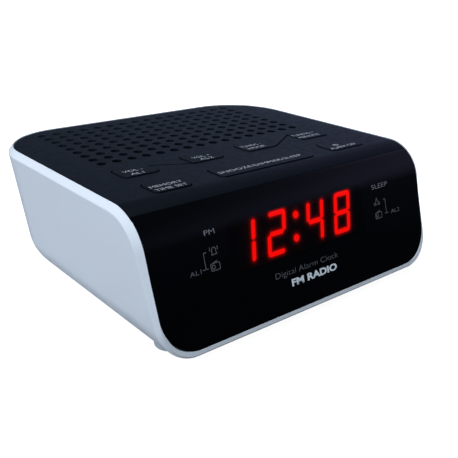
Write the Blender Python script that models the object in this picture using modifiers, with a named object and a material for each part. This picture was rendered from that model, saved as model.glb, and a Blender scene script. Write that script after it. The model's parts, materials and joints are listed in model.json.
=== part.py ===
"""A small clock radio: a white case with a bevelled rim, a black top with seven keys and a
loudspeaker grille, a gloss lens over a red display, and the works inside.

Metres. +Z is up, the front faces -Y, and the origin is on the table under the middle."""

import math

import bmesh
import bpy
from mathutils import Matrix, Vector

MM = 0.001
GAP = 0.3 * MM
MERGE = 0.0001 * MM

# Case: a tub whose sides, back and slanted front all lean. Its rim is bevelled all round and
# stands a little proud of the cover and the lens inside it.
CASE_TOP = 47.0 * MM
CASE_BOTTOM = 1.9 * MM
CASE_HALF_WIDTH = 66.9 * MM
SIDE_TAPER = 0.059
BACK_Y = 61.0 * MM
BACK_LEAN = 0.256
FRONT_Y = -60.57 * MM
FRONT_LEAN = math.radians(16.54)
FRONT_BEND = 15.7 * MM
CORNER_RADIUS = 28.0 * MM
BOTTOM_RADIUS = 12.0 * MM
BACK_BOTTOM_RADIUS = 5.0 * MM
RIM_BEVEL = 2.05 * MM
RIM_BEVEL_LOW = 0.8 * MM
RIM_RAMP = 26.0 * MM
RIM_PROUD = 0.25 * MM
WALL = 2.2 * MM
LEAST_INNER_RADIUS = 1.5 * MM

# Lens over the slanted front and most of the bend.
LENS_HALF_WIDTH = 64.2 * MM
LENS_TAPER = 0.03
LENS_CORNER = 12.4 * MM
LENS_BOTTOM = 4.0 * MM
LENS_TOP_TURN = math.radians(58.9)
LENS_THICKNESS = 2.0 * MM
PANEL_THICKNESS = 1.6 * MM
COVER_EDGE_TURN = math.radians(60.0)
COVER_STEP_TURN = math.radians(66.0)

# Display window and the module behind it, by width across and distance up the slanted front.
WINDOW_X = (-34.5 * MM, 30.5 * MM)
WINDOW_UP = (21.6 * MM, 39.9 * MM)
MODULE_WIDTH = 60.0 * MM
MODULE_HEIGHT = 17.0 * MM
MODULE_DEPTH = 7.0 * MM
MODULE_GAP = 0.5 * MM
DISPLAY_BOARD_HALF = 48.0 * MM
DISPLAY_BOARD_UP = (15.0 * MM, 39.0 * MM)
BOARD_THICKNESS = 1.6 * MM

# Grille: a square grid of round holes.
GRILLE_COLUMNS = 16
GRILLE_ROWS = 9
GRILLE_PITCH_X = 6.23 * MM
GRILLE_PITCH_Y = 5.95 * MM
GRILLE_MIDDLE = (-0.7 * MM, 26.4 * MM)
GRILLE_HOLE = 3.4 * MM

# Keys: name, left, right, front, back.
KEYS = (
    ("time_set", -49.5, -35.3, -35.4, -25.3),
    ("snooze", -22.7, 20.8, -35.2, -25.3),
    ("power", 31.8, 49.1, -34.7, -24.7),
    ("volume_down", -49.5, -35.3, -16.7, -6.8),
    ("volume_up", -21.2, -6.6, -16.2, -6.5),
    ("tune_down", 4.8, 19.8, -16.2, -6.5),
    ("tune_up", 34.6, 48.9, -15.8, -6.1),
)
KEY_RISE = 0.32 * MM
KEY_CLEARANCE = 0.4 * MM
KEY_CORNER = 2.0 * MM
KEY_FLANGE = 1.2 * MM
KEY_FLANGE_TOP = CASE_TOP - WALL - GAP
KEY_FLANGE_BOTTOM = KEY_FLANGE_TOP - 1.3 * MM
KEY_STEM = 4.0 * MM
KEY_STEM_CORNER = 0.5 * MM
KEY_EDGE = 0.3 * MM

# Boards, from the top down.
KEY_BOARD_TOP = 36.4 * MM
SWITCH_SIZE = 6.0 * MM
SWITCH_HEIGHT = 3.5 * MM
SWITCH_BUTTON_RADIUS = 1.7 * MM
SWITCH_BUTTON_RISE = 1.0 * MM
SWITCH_WELL = 2.0 * MM
SWITCH_WELL_RADIUS = 2.1 * MM
SWITCH_BUTTON_SUNK = 0.8 * MM
KEY_BOARD_X = (-51.3 * MM, 51.3 * MM)
KEY_BOARD_Y = (-34.8 * MM, -4.0 * MM)
MAIN_BOARD_TOP = 13.6 * MM
MAIN_BOARD_X = (-50.0 * MM, 50.0 * MM)
MAIN_BOARD_Y = (-40.0 * MM, -8.0 * MM)
CLOCK_CHIP = ((-22.0 * MM, -28.0 * MM), (-8.0 * MM, -20.5 * MM), 2.6 * MM)
TUNER_CHIP = ((8.0 * MM, -27.0 * MM), (17.0 * MM, -21.0 * MM), 1.8 * MM)
CAPACITOR_PLACE = (34.0 * MM, -22.0 * MM)

# Flat cables, by their path of (y, z) in millimetres and their two edges in x.
RIBBON_THICKNESS = 0.6 * MM
DISPLAY_RIBBON_PATH = ((-42.2, 21.8), (-39.4, 20.8), (-37.0, 18.8), (-35.9, 16.4), (-35.6, 14.0))
DISPLAY_RIBBON_X = (-30.0 * MM, -16.0 * MM)
KEY_RIBBON_PATH = (
    (-6.4, 34.3), (-5.4, 31.0), (-5.6, 26.0), (-7.6, 21.0), (-9.6, 17.0), (-10.0, 14.0)
)
KEY_RIBBON_X = (4.0 * MM, 18.0 * MM)

# Fixings and feet.
SCREW_PLACES = ((-55.5, -30.0), (55.5, -30.0), (-54.0, 22.0), (54.0, 22.0))
WELL_RADIUS = 3.0 * MM
TUBE_RADIUS = 4.0 * MM
TUBE_FOOT = 3.8 * MM
TUBE_TOP = 14.0 * MM
WELL_TOP = 10.5 * MM
TUBE_BORE = 1.7 * MM
COVER_POST_RADIUS = 3.5 * MM
COVER_POST_BORE = 1.75 * MM
COVER_POST_BORE_TOP = 26.0 * MM
KEY_BOARD_POST_RADIUS = 2.5 * MM
KEY_BOARD_BORE_TOP = 43.0 * MM
MAIN_BOARD_POST_RADIUS = 3.0 * MM
MAIN_BOARD_BORE_FOOT = 6.0 * MM
PILOT_RADIUS = 1.2 * MM
BOARD_HOLE_RADIUS = 1.5 * MM
HEAD_HEIGHT = 1.7 * MM
HEAD_EDGE = 0.4 * MM
TIP_LENGTH = 1.2 * MM
CASE_SCREW = (2.6 * MM, 1.4 * MM, 14.0 * MM)
KEY_BOARD_SCREW = (2.2 * MM, 0.9 * MM, 9.0 * MM)
MAIN_BOARD_SCREW = (2.2 * MM, 0.9 * MM, 8.0 * MM)
FOOT_PLACES = ((-53.2, -46.3), (53.2, -46.3), (-46.0, 35.5), (46.0, 35.5))
FOOT_RADIUS = 5.0 * MM
FOOT_RECESS = 1.2 * MM
FOOT_EDGE = 0.6 * MM
KEY_BOARD_SCREWS = ((-28.0, -12.0), (27.2, -12.0))
MAIN_BOARD_SCREWS = ((-46.0, -12.0), (46.0, -12.0))

# Battery compartment in the base.
CELL_RADIUS = 5.25 * MM
CELL_LENGTH = 44.5 * MM
CELL_START = -41.4 * MM
CHAMBER_X = (-45.6 * MM, 5.9 * MM)
CHAMBER_Y = (3.0 * MM, 26.0 * MM)
CHAMBER_TOP = 17.0 * MM
CHAMBER_WALL = 1.6 * MM
DOOR_THICKNESS = 1.8 * MM
LUG_PLACES = (8.0 * MM, 21.0 * MM)
LUG_WIDTH = 4.0 * MM
LUG_REACH = 3.0 * MM
LUG_HEIGHT = 1.5 * MM
LUG_POCKET_TOP = 8.2 * MM
LATCH_SPREAD = 4.0 * MM
LATCH_LENGTH = 7.0 * MM
LATCH_SLIT = 0.8 * MM
GRIP_COUNT = 3
GRIP_PITCH = 1.5 * MM
GRIP_WIDTH = 0.7 * MM
GRIP_DEPTH = 0.4 * MM
GRIP_HALF_LENGTH = 2.4 * MM
FINGER_RADIUS = 4.4 * MM
FINGER_DEPTH = 1.3 * MM
CONTACT_THICKNESS = 0.5 * MM
CONTACT_BUMP = 1.4 * MM
CONTACT_BUMP_RADII = (1.9 * MM, 1.1 * MM)
CONTACT_HALF_WIDTH = 4.0 * MM
CONTACT_BELOW = 2.2 * MM
CONTACT_ABOVE = 4.5 * MM
CONTACT_PLAY = 0.35 * MM

# Loudspeaker under the grille, facing up.
SPEAKER_MIDDLE = (-20.0 * MM, 25.0 * MM)
SPEAKER_TOP = 43.8 * MM
SPEAKER_FRAME = (
    (25.0, 43.8), (25.0, 42.6), (23.7, 42.6), (23.7, 40.6), (14.2, 29.0),
    (8.2, 29.0), (8.2, 30.0), (13.7, 30.0), (22.7, 41.0), (22.7, 43.8),
)
SPEAKER_MAGNET = (
    (0.0, 28.7), (5.8, 28.7), (5.8, 24.0), (8.4, 24.0), (8.4, 28.7), (14.0, 28.7),
    (14.0, 22.0), (0.0, 22.0),
)
SPEAKER_CONE = (
    (0.0, 36.6), (3.8, 36.0), (7.2, 34.2), (20.9, 42.9), (20.9, 42.2), (7.2, 33.4),
    (3.8, 35.2), (0.0, 35.8),
)
VOICE_COIL = ((7.5, 33.0), (7.5, 26.0), (6.7, 26.0), (6.7, 33.0))
CAPACITOR = ((0.0, 16.0), (4.6, 16.0), (5.0, 15.6), (5.0, 0.0), (0.0, 0.0))
CLOTH_X = (-49.5 * MM, 48.0 * MM)
CLOTH_Y = (0.4 * MM, 52.4 * MM)
CLOTH_THICKNESS = 0.4 * MM

# Transformer on the base.
CORE_MIDDLE = (27.5 * MM, 20.0 * MM)
CORE_SIZE = (35.0 * MM, 14.0 * MM, 29.0 * MM)
CORE_FOOT = 4.4 * MM
CORE_WINDOW = (6.0 * MM, 17.0 * MM)
CORE_LEG = 10.0 * MM
WINDING_CORNER = 2.0 * MM
VENT_COUNT = 7
VENT_PITCH = 4.6 * MM
VENT_HALF_WIDTH = 1.0 * MM
VENT_CORNER = 0.9 * MM
VENT_Y = (12.0 * MM, 29.0 * MM)

# Openings in the back wall.
GLAND_PLACE = (34.0 * MM, 15.0 * MM)
GLAND_RADIUS = 4.9 * MM
GLAND_BORE = (3.0 * MM, 1.8 * MM)
AERIAL_PLACE = (-30.0 * MM, 15.0 * MM)
AERIAL_RADIUS = 2.3 * MM
AERIAL_BORE = (0.9 * MM, 0.9 * MM)
FITTING_REACH = 3.2 * MM
FITTING_INSIDE = 2.5 * MM
FITTING_EDGE = 1.0 * MM

# How far helpers run past what they cut.
CUT_REACH = 40.0 * MM
STAND_OUT = 5.0 * MM
PAST = 1.0 * MM

for leftover in list(bpy.data.objects):
    bpy.data.objects.remove(leftover)


def new_collection(name):
    """A collection of that name, linked to the scene."""
    made = bpy.data.collections.new(name)
    bpy.context.scene.collection.children.link(made)
    return made


PARTS = new_collection("clock_radio")
CUTTERS = new_collection("cutters")
CUTTERS.hide_render = True


def make_material(name, colour, roughness, metallic=0.0, glow=0.0):
    """A Principled material of one colour."""
    made = bpy.data.materials.new(name)
    made.use_nodes = True
    shader = made.node_tree.nodes["Principled BSDF"]
    shader.inputs["Base Color"].default_value = (*colour, 1.0)
    shader.inputs["Roughness"].default_value = roughness
    shader.inputs["Metallic"].default_value = metallic
    shader.inputs["Emission Color"].default_value = (*colour, 1.0)
    shader.inputs["Emission Strength"].default_value = glow
    return made


WHITE = make_material("white_plastic", (0.78, 0.81, 0.85), 0.35)
MATTE = make_material("matte_black_plastic", (0.013, 0.015, 0.021), 0.55)
GLOSS = make_material("gloss_black_acrylic", (0.004, 0.004, 0.006), 0.06)
RUBBER = make_material("foot_rubber", (0.55, 0.57, 0.60), 0.8)
STEEL = make_material("zinc_plated_steel", (0.62, 0.62, 0.60), 0.35, 1.0)
BOARD = make_material("circuit_board", (0.30, 0.20, 0.08), 0.5)
PART_BLACK = make_material("moulded_black", (0.02, 0.02, 0.02), 0.45)
DISPLAY = make_material("display_face", (0.10, 0.02, 0.02), 0.4)
CLOTH = make_material("grille_cloth", (0.01, 0.01, 0.01), 0.95)
PAPER = make_material("cone_paper", (0.05, 0.045, 0.04), 0.9)
COPPER = make_material("wound_copper", (0.55, 0.20, 0.08), 0.4, 0.8)
LAMINATION = make_material("core_steel", (0.25, 0.25, 0.26), 0.5, 0.9)
CELL_WRAP = make_material("cell_wrap", (0.05, 0.16, 0.30), 0.35)
RIBBON = make_material("ribbon_cable", (0.45, 0.45, 0.47), 0.5)


def place(obj, material=None, collection=None):
    """Links an object, and gives it its material. Cutters have none."""
    (collection or PARTS).objects.link(obj)
    if material:
        obj.data.materials.append(material)
        obj.data.shade_smooth()
        obj.data.set_sharp_from_angle(angle=math.radians(32))
    else:
        obj.hide_render = True
        obj.display_type = "WIRE"
    return obj


def object_from(bm, name, material=None):
    """An object made from a bmesh: a part with a material, or a cutter without one."""
    bmesh.ops.recalc_face_normals(bm, faces=bm.faces)
    mesh = bpy.data.meshes.new(name)
    bm.to_mesh(mesh)
    bm.free()
    return place(bpy.data.objects.new(name, mesh), material, PARTS if material else CUTTERS)


def set_origin(obj, point):
    """Moves an object's origin to a point and leaves its shape where it is."""
    obj.data.transform(Matrix.Translation(-Vector(point)))
    obj.location = point


def add_box(bm, low, high, corner=0.0, turn=None):
    """A box between two corners, with its upright edges rounded."""
    size = [b - a for a, b in zip(low, high)]
    middle = [(a + b) / 2 for a, b in zip(low, high)]
    matrix = Matrix.Translation(middle) @ Matrix.Diagonal((*size, 1.0))
    made = bmesh.ops.create_cube(bm, size=1.0, matrix=matrix)["verts"]
    if corner:
        edges = {e for v in made for e in v.link_edges}
        upright = [e for e in edges if abs(e.verts[0].co.z - e.verts[1].co.z) > size[2] / 2]
        made = bmesh.ops.bevel(
            bm, geom=upright, offset=corner, segments=3, profile=0.5, affect="EDGES"
        )["verts"]
        made = list({v for seed in made for f in seed.link_faces for v in f.verts})
    if turn:
        bmesh.ops.transform(bm, matrix=turn, verts=made)


def add_rod(bm, x, y, low, high, radius, sides=16, tip_radius=None):
    """An upright rod, tapered where tip_radius is given."""
    matrix = Matrix.Translation((x, y, (low + high) / 2))
    bmesh.ops.create_cone(
        bm,
        cap_ends=True,
        segments=sides,
        radius1=radius,
        radius2=tip_radius or radius,
        depth=high - low,
        matrix=matrix,
    )


def add_loft(bm, rings):
    """A closed solid through rings that have the same number of points."""
    rows = [[bm.verts.new(point) for point in ring] for ring in rings]
    for low, high in zip(rows, rows[1:]):
        for i, start in enumerate(low):
            j = (i + 1) % len(low)
            bm.faces.new((start, low[j], high[j], high[i]))
    bm.faces.new(rows[0])
    bm.faces.new(rows[-1])


def box(name, low, high, material, corner=0.0, turn=None):
    """A part that is one box."""
    bm = bmesh.new()
    add_box(bm, low, high, corner, turn)
    return object_from(bm, name, material)


def turned(name, profile, material, at=(0, 0, 0), steps=24, closed=False):
    """A turned part: (radius, height) points in millimetres, outer side top to bottom."""
    points = [(r * MM, 0.0, z * MM) for r, z in profile]
    edges = [(i, i + 1) for i in range(len(points) - 1)]
    if closed:
        edges.append((len(points) - 1, 0))
    mesh = bpy.data.meshes.new(name)
    mesh.from_pydata(points, edges, [])
    obj = place(bpy.data.objects.new(name, mesh), material)
    obj.location = at
    screw = obj.modifiers.new("turn", "SCREW")
    screw.steps = steps
    screw.render_steps = steps
    screw.use_merge_vertices = True
    screw.merge_threshold = 0.00001
    return obj


def plate(name, outline, x_low, x_high, material=None):
    """A (y, z) outline made solid between two x values."""
    bm = bmesh.new()
    add_loft(bm, [[(x, y, z) for y, z in outline] for x in (x_low, x_high)])
    return object_from(bm, name, material)


def boolean(obj, cutter, operation="DIFFERENCE"):
    """Cuts, joins or intersects a part with a helper."""
    made = obj.modifiers.new(cutter.name, "BOOLEAN")
    made.operation = operation
    made.object = cutter
    made.solver = "EXACT"
    made.use_self = True


# The leaning front and its bend, seen from the side.
BEND_Z = CASE_TOP - FRONT_BEND
FRONT_ZERO_Y = FRONT_Y - CASE_BOTTOM * math.tan(FRONT_LEAN)
BEND_Y = FRONT_ZERO_Y + (FRONT_BEND + BEND_Z * math.sin(FRONT_LEAN)) / math.cos(FRONT_LEAN)
BEND_START_Z = BEND_Z + FRONT_BEND * math.sin(FRONT_LEAN)


def front_y(z):
    """Where the front surface is at a height."""
    if z <= BEND_START_Z:
        return FRONT_ZERO_Y + z * math.tan(FRONT_LEAN)
    rise = min(z - BEND_Z, FRONT_BEND)
    return BEND_Y - math.sqrt(FRONT_BEND**2 - rise**2)


def bend_point(turn, inset):
    """A point (y, z) of the bend. The turn runs from the lean of the front to a right angle."""
    reach = FRONT_BEND - inset
    return BEND_Y - reach * math.cos(turn), BEND_Z + reach * math.sin(turn)


def slant_point(z, inset):
    """The point (y, z) behind the front surface's point at height z, square to that surface."""
    y = FRONT_ZERO_Y + z * math.tan(FRONT_LEAN)
    return y + inset * math.cos(FRONT_LEAN), z - inset * math.sin(FRONT_LEAN)


def slant_matrix():
    """Stands the slanted front's own axes in the world: x across, y inwards, z up the slant."""
    lift = Matrix.Translation((0.0, FRONT_ZERO_Y, 0.0))
    return lift @ Matrix.Rotation(-FRONT_LEAN, 4, "X")


def spread(low, high, count):
    """Evenly spaced values from low to high."""
    return [low + (high - low) * i / (count - 1) for i in range(count)]


def tuck(height, radius):
    """How far a rounded bottom edge draws in at a height above the bottom."""
    if height >= radius:
        return 0.0
    return radius - math.sqrt(max(radius**2 - (radius - height) ** 2, 0.0))


def case_half(z):
    """Half the case's width at a height."""
    return CASE_HALF_WIDTH - SIDE_TAPER * (CASE_TOP - z)


def plan_ring(z, inset, front, corner_steps=8):
    """The outline seen from above: straight sides and round back corners."""
    height = z - CASE_BOTTOM - inset
    side_tuck = tuck(height, BOTTOM_RADIUS - inset)
    back_tuck = tuck(height, max(BACK_BOTTOM_RADIUS - inset, LEAST_INNER_RADIUS))
    half = case_half(z) - inset
    back = BACK_Y - BACK_LEAN * (CASE_TOP - z) - inset
    radius = CORNER_RADIUS - inset
    ring = []
    for side in (-1, 1):
        corner = [(half - side_tuck, front)]
        for angle in spread(0.0, math.pi / 2, corner_steps + 1):
            across = half - radius + (radius - side_tuck) * math.cos(angle)
            along = back - radius + (radius - back_tuck) * math.sin(angle)
            corner.append((across, along))
        ring += [(side * x, y, z) for x, y in corner[::-side]]
    return ring


def case_heights(inset, top):
    """Heights of the rings: close together round the bottom edge."""
    floor = CASE_BOTTOM + inset
    radius = BOTTOM_RADIUS - inset
    return [floor + radius * (1 - math.cos(a)) for a in spread(0.0, math.pi / 2, 6)] + [top]


def rim_width(z):
    """The width of the rim's bevel, which narrows towards the foot of the front."""
    part = min((z - CASE_BOTTOM) / RIM_RAMP, 1.0)
    return RIM_BEVEL_LOW + (RIM_BEVEL - RIM_BEVEL_LOW) * part


def rim_stations():
    """Both edges of the front rim, going up: outer (y, z), inner (y, z) and inner half width."""
    stations = []
    for angle in spread(0.0, math.pi / 2, 6):
        z_out = CASE_BOTTOM + BOTTOM_RADIUS * (1 - math.cos(angle))
        rim = rim_width(z_out)
        reach = BOTTOM_RADIUS - rim
        z_in = CASE_BOTTOM + BOTTOM_RADIUS - reach * math.cos(angle)
        half = case_half(z_in) - BOTTOM_RADIUS + reach * math.sin(angle)
        outer = (front_y(z_out) + (rim - RIM_PROUD) / math.cos(FRONT_LEAN), z_out)
        stations.append((outer, slant_point(z_in, -RIM_PROUD), half))
    rim = RIM_BEVEL
    for turn in spread(FRONT_LEAN, math.pi / 2, 8):
        inner = bend_point(turn, -RIM_PROUD)
        half = case_half(inner[1]) - rim
        stations.append((bend_point(turn, rim - RIM_PROUD), inner, half))
    return stations


def outer_case():
    """The white case before it is hollowed, with its rim bevelled."""
    stations = rim_stations()
    rings = []
    for (y_out, z_out), (y_in, z_in), half in stations:
        sides = plan_ring(z_out, 0.0, y_out)
        rings.append([(-half, y_in, z_in), *sides, (half, y_in, z_in)])
    foot = plan_ring(CASE_BOTTOM, 0.0, stations[0][0][0])
    top = plan_ring(CASE_TOP + RIM_PROUD, RIM_BEVEL, BEND_Y)
    rings = [[foot[0], *foot, foot[-1]], *rings, [top[0], *top, top[-1]]]
    bm = bmesh.new()
    add_loft(bm, rings)
    bmesh.ops.remove_doubles(bm, verts=bm.verts, dist=MERGE)
    return object_from(bm, "lower_case", WHITE)


def hollow(name, inset):
    """What fills the inside of the case, and stands out through its front and top."""
    heights = case_heights(inset, CASE_TOP + STAND_OUT)
    bm = bmesh.new()
    add_loft(bm, [plan_ring(z, inset, front_y(min(z, CASE_TOP)) - STAND_OUT) for z in heights])
    return object_from(bm, name)


def front_sheet(name, outer, inner, grow, material=None):
    """A curved sheet over the slanted front and the bend, with round lower corners."""
    low = LENS_BOTTOM - grow
    corner = LENS_CORNER + grow
    heights = [low + corner * (1 - math.cos(a)) for a in spread(0.0, math.pi / 2, 6)]
    heights.append(BEND_START_Z)
    sections = [(z, slant_point(z, outer), slant_point(z, inner)) for z in heights]
    top_turn = LENS_TOP_TURN + grow / FRONT_BEND
    for turn in spread(FRONT_LEAN, top_turn, 7)[1:]:
        z = bend_point(turn, 0.0)[1]
        sections.append((z, bend_point(turn, outer), bend_point(turn, inner)))
    bm = bmesh.new()
    rings = []
    for z, (y_out, z_out), (y_in, z_in) in sections:
        half = LENS_HALF_WIDTH + grow - LENS_TAPER * (CASE_TOP - z) - tuck(z - low, corner)
        rings.append(
            ((-half, y_out, z_out), (half, y_out, z_out), (half, y_in, z_in), (-half, y_in, z_in))
        )
    add_loft(bm, rings)
    return object_from(bm, name, material)


def at_mm(places):
    """Places given in millimetres, in metres."""
    return [(x * MM, y * MM) for x, y in places]


def lower_case():
    """The white tub, with its screw tubes, board posts and battery compartment."""
    case = outer_case()
    boolean(case, hollow("case_hollow", WALL))

    bm = bmesh.new()
    for x, y in at_mm(SCREW_PLACES):
        add_rod(bm, x, y, TUBE_FOOT, TUBE_TOP, TUBE_RADIUS)
    for x, y in at_mm(MAIN_BOARD_SCREWS):
        top = MAIN_BOARD_TOP - BOARD_THICKNESS - GAP
        add_rod(bm, x, y, TUBE_FOOT, top, MAIN_BOARD_POST_RADIUS)
    low = (CHAMBER_X[0] - CHAMBER_WALL, CHAMBER_Y[0] - CHAMBER_WALL, TUBE_FOOT)
    high = (CHAMBER_X[1] + CHAMBER_WALL, CHAMBER_Y[1] + CHAMBER_WALL, CHAMBER_TOP + CHAMBER_WALL)
    add_box(bm, low, high)
    boolean(case, object_from(bm, "case_additions"), "UNION")

    bm = bmesh.new()
    for x, y in at_mm(SCREW_PLACES):
        add_rod(bm, x, y, 0.0, WELL_TOP, WELL_RADIUS)
        add_rod(bm, x, y, WELL_TOP - PAST, TUBE_TOP + PAST, TUBE_BORE)
    for x, y in at_mm(MAIN_BOARD_SCREWS):
        add_rod(bm, x, y, MAIN_BOARD_BORE_FOOT, MAIN_BOARD_TOP, PILOT_RADIUS, 12)
    finger_y = sum(CHAMBER_Y) / 2
    add_rod(bm, CHAMBER_X[1], finger_y, 0.0, CASE_BOTTOM + FINGER_DEPTH, FINGER_RADIUS, 24)
    boolean(case, object_from(bm, "case_bores"))

    bm = bmesh.new()
    for x, y in at_mm(FOOT_PLACES):
        add_rod(bm, x, y, 0.0, CASE_BOTTOM + FOOT_RECESS, FOOT_RADIUS + GAP, 24)
    add_box(bm, (CHAMBER_X[0], CHAMBER_Y[0], 0.0), (CHAMBER_X[1], CHAMBER_Y[1], CHAMBER_TOP))
    for y in LUG_PLACES:
        low = (CHAMBER_X[0] - LUG_REACH - GAP, y - LUG_WIDTH / 2 - GAP, CASE_BOTTOM + WALL)
        add_box(bm, low, (CHAMBER_X[0] + PAST, y + LUG_WIDTH / 2 + GAP, LUG_POCKET_TOP))
    for i in range(VENT_COUNT):
        x = CORE_MIDDLE[0] + (i - (VENT_COUNT - 1) / 2) * VENT_PITCH
        low = (x - VENT_HALF_WIDTH, VENT_Y[0], 0.0)
        high = (x + VENT_HALF_WIDTH, VENT_Y[1], CASE_BOTTOM + WALL + PAST)
        add_box(bm, low, high, VENT_CORNER)
    boolean(case, object_from(bm, "case_openings"))

    bm = bmesh.new()
    for (x, z), fitting in ((GLAND_PLACE, GLAND_RADIUS), (AERIAL_PLACE, AERIAL_RADIUS)):
        bmesh.ops.create_cone(
            bm,
            cap_ends=True,
            segments=20,
            radius1=fitting + GAP,
            radius2=fitting + GAP,
            depth=CUT_REACH,
            matrix=Matrix.Translation((x, BACK_Y, z)) @ Matrix.Rotation(math.pi / 2, 4, "X"),
        )
    boolean(case, object_from(bm, "case_back_bores"))
    boolean(case, front_sheet("lens_recess", -STAND_OUT, LENS_THICKNESS + GAP, GAP))


def cover_outline():
    """The top cover's section from the side: lip, top, underside and the panel behind the lens."""
    recess = LENS_THICKNESS + GAP
    inner = recess + PANEL_THICKNESS
    back = BACK_Y + STAND_OUT
    outline = [bend_point(turn, 0.0) for turn in spread(COVER_EDGE_TURN, math.pi / 2, 5)]
    outline += [(back, CASE_TOP), (back, CASE_TOP - WALL)]
    outline += [bend_point(turn, WALL) for turn in spread(math.pi / 2, COVER_STEP_TURN, 4)]
    outline += [bend_point(turn, inner) for turn in spread(COVER_STEP_TURN, FRONT_LEAN, 6)]
    outline += [slant_point(CASE_BOTTOM, inner), slant_point(CASE_BOTTOM, recess)]
    outline += [bend_point(turn, recess) for turn in spread(FRONT_LEAN, COVER_EDGE_TURN, 6)]
    return outline


def top_cover():
    """The matte black cover, with its posts, key windows, grille and display window."""
    half = CASE_HALF_WIDTH + STAND_OUT
    cover = plate("top_cover", cover_outline(), -half, half, MATTE)
    boolean(cover, hollow("cover_limits", WALL + GAP), "INTERSECT")

    bm = bmesh.new()
    inside_top = CASE_TOP - WALL / 2
    for x, y in at_mm(SCREW_PLACES):
        add_rod(bm, x, y, TUBE_TOP + GAP, inside_top, COVER_POST_RADIUS)
    for x, y in at_mm(KEY_BOARD_SCREWS):
        add_rod(bm, x, y, KEY_BOARD_TOP + GAP, inside_top, KEY_BOARD_POST_RADIUS)
    boolean(cover, object_from(bm, "cover_posts"), "UNION")

    bm = bmesh.new()
    for x, y in at_mm(SCREW_PLACES):
        add_rod(bm, x, y, TUBE_TOP - PAST, COVER_POST_BORE_TOP, COVER_POST_BORE, 12)
    for x, y in at_mm(KEY_BOARD_SCREWS):
        add_rod(bm, x, y, KEY_BOARD_TOP - PAST, KEY_BOARD_BORE_TOP, PILOT_RADIUS, 12)
    for name, left, right, front, back in KEYS:
        low = (left * MM - KEY_CLEARANCE, front * MM - KEY_CLEARANCE, CASE_TOP - STAND_OUT)
        high = (right * MM + KEY_CLEARANCE, back * MM + KEY_CLEARANCE, CASE_TOP + PAST)
        add_box(bm, low, high, KEY_CORNER + KEY_CLEARANCE)
    for column in range(GRILLE_COLUMNS):
        for row in range(GRILLE_ROWS):
            x = GRILLE_MIDDLE[0] + (column - (GRILLE_COLUMNS - 1) / 2) * GRILLE_PITCH_X
            y = GRILLE_MIDDLE[1] + (row - (GRILLE_ROWS - 1) / 2) * GRILLE_PITCH_Y
            add_rod(bm, x, y, CASE_TOP - WALL - PAST, CASE_TOP + PAST, GRILLE_HOLE / 2, 8)
    low = (WINDOW_X[0], PAST, WINDOW_UP[0])
    high = (WINDOW_X[1], LENS_THICKNESS + GAP + PANEL_THICKNESS + PAST, WINDOW_UP[1])
    add_box(bm, low, high, 0.0, slant_matrix())
    boolean(cover, object_from(bm, "cover_openings"))


def rounded_ring(size_x, size_y, corner, z):
    """A rectangle with round corners at one height, about its own middle."""
    ring = []
    for quarter in range(4):
        across = (1, -1, -1, 1)[quarter] * (size_x / 2 - corner)
        along = (1, 1, -1, -1)[quarter] * (size_y / 2 - corner)
        for angle in spread(quarter * math.pi / 2, (quarter + 1) * math.pi / 2, 4):
            ring.append((across + corner * math.cos(angle), along + corner * math.sin(angle), z))
    return ring


def key(name, left, right, front, back):
    """A key: its stem, the flange that keeps it in, and its raised top. Its switch is below."""
    x = (left + right) / 2 * MM
    y = (front + back) / 2 * MM
    wide = (right - left) * MM
    deep = (back - front) * MM
    top = CASE_TOP + KEY_RISE
    housing_top = KEY_BOARD_TOP + GAP + SWITCH_HEIGHT
    stem_foot = housing_top + SWITCH_BUTTON_RISE + GAP
    flange = 2 * KEY_FLANGE
    rings = [
        rounded_ring(KEY_STEM, KEY_STEM, KEY_STEM_CORNER, stem_foot),
        rounded_ring(KEY_STEM, KEY_STEM, KEY_STEM_CORNER, KEY_FLANGE_BOTTOM),
        rounded_ring(wide + flange, deep + flange, KEY_CORNER, KEY_FLANGE_BOTTOM),
        rounded_ring(wide + flange, deep + flange, KEY_CORNER, KEY_FLANGE_TOP),
        rounded_ring(wide, deep, KEY_CORNER, KEY_FLANGE_TOP),
        rounded_ring(wide, deep, KEY_CORNER, top - KEY_EDGE),
        rounded_ring(wide - 2 * KEY_EDGE, deep - 2 * KEY_EDGE, KEY_CORNER - KEY_EDGE, top),
    ]
    bm = bmesh.new()
    add_loft(bm, rings)
    object_from(bm, "key_" + name, MATTE).location = (x, y, 0.0)

    half = SWITCH_SIZE / 2
    foot = KEY_BOARD_TOP + GAP
    housing = box(
        "switch_housing_" + name, (x - half, y - half, foot), (x + half, y + half, housing_top),
        PART_BLACK,
    )
    bm = bmesh.new()
    well_foot = housing_top - SWITCH_WELL
    add_rod(bm, x, y, well_foot, housing_top + PAST, SWITCH_WELL_RADIUS, 12)
    boolean(housing, object_from(bm, "switch_well_" + name))
    bm = bmesh.new()
    sunk = housing_top - SWITCH_BUTTON_SUNK
    raised = housing_top + SWITCH_BUTTON_RISE
    add_rod(bm, 0.0, 0.0, sunk, raised, SWITCH_BUTTON_RADIUS, 12)
    object_from(bm, "switch_button_" + name, PART_BLACK).location = (x, y, 0.0)


def screw_part(name, x, y, head_foot, size, down=False):
    """A pan-head screw whose shank points up."""
    head_radius, shank_radius, length = size
    profile = [
        (0.0, length),
        (shank_radius * 0.5, length),
        (shank_radius, length - TIP_LENGTH),
        (shank_radius, HEAD_HEIGHT),
        (head_radius, HEAD_HEIGHT),
        (head_radius, HEAD_EDGE),
        (head_radius - HEAD_EDGE, 0.0),
        (0.0, 0.0),
    ]
    scaled = [(r / MM, z / MM) for r, z in profile]
    obj = turned(name, scaled, STEEL, (x, y, head_foot), 16)
    if down:
        obj.rotation_euler = (math.pi, 0.0, 0.0)


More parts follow.
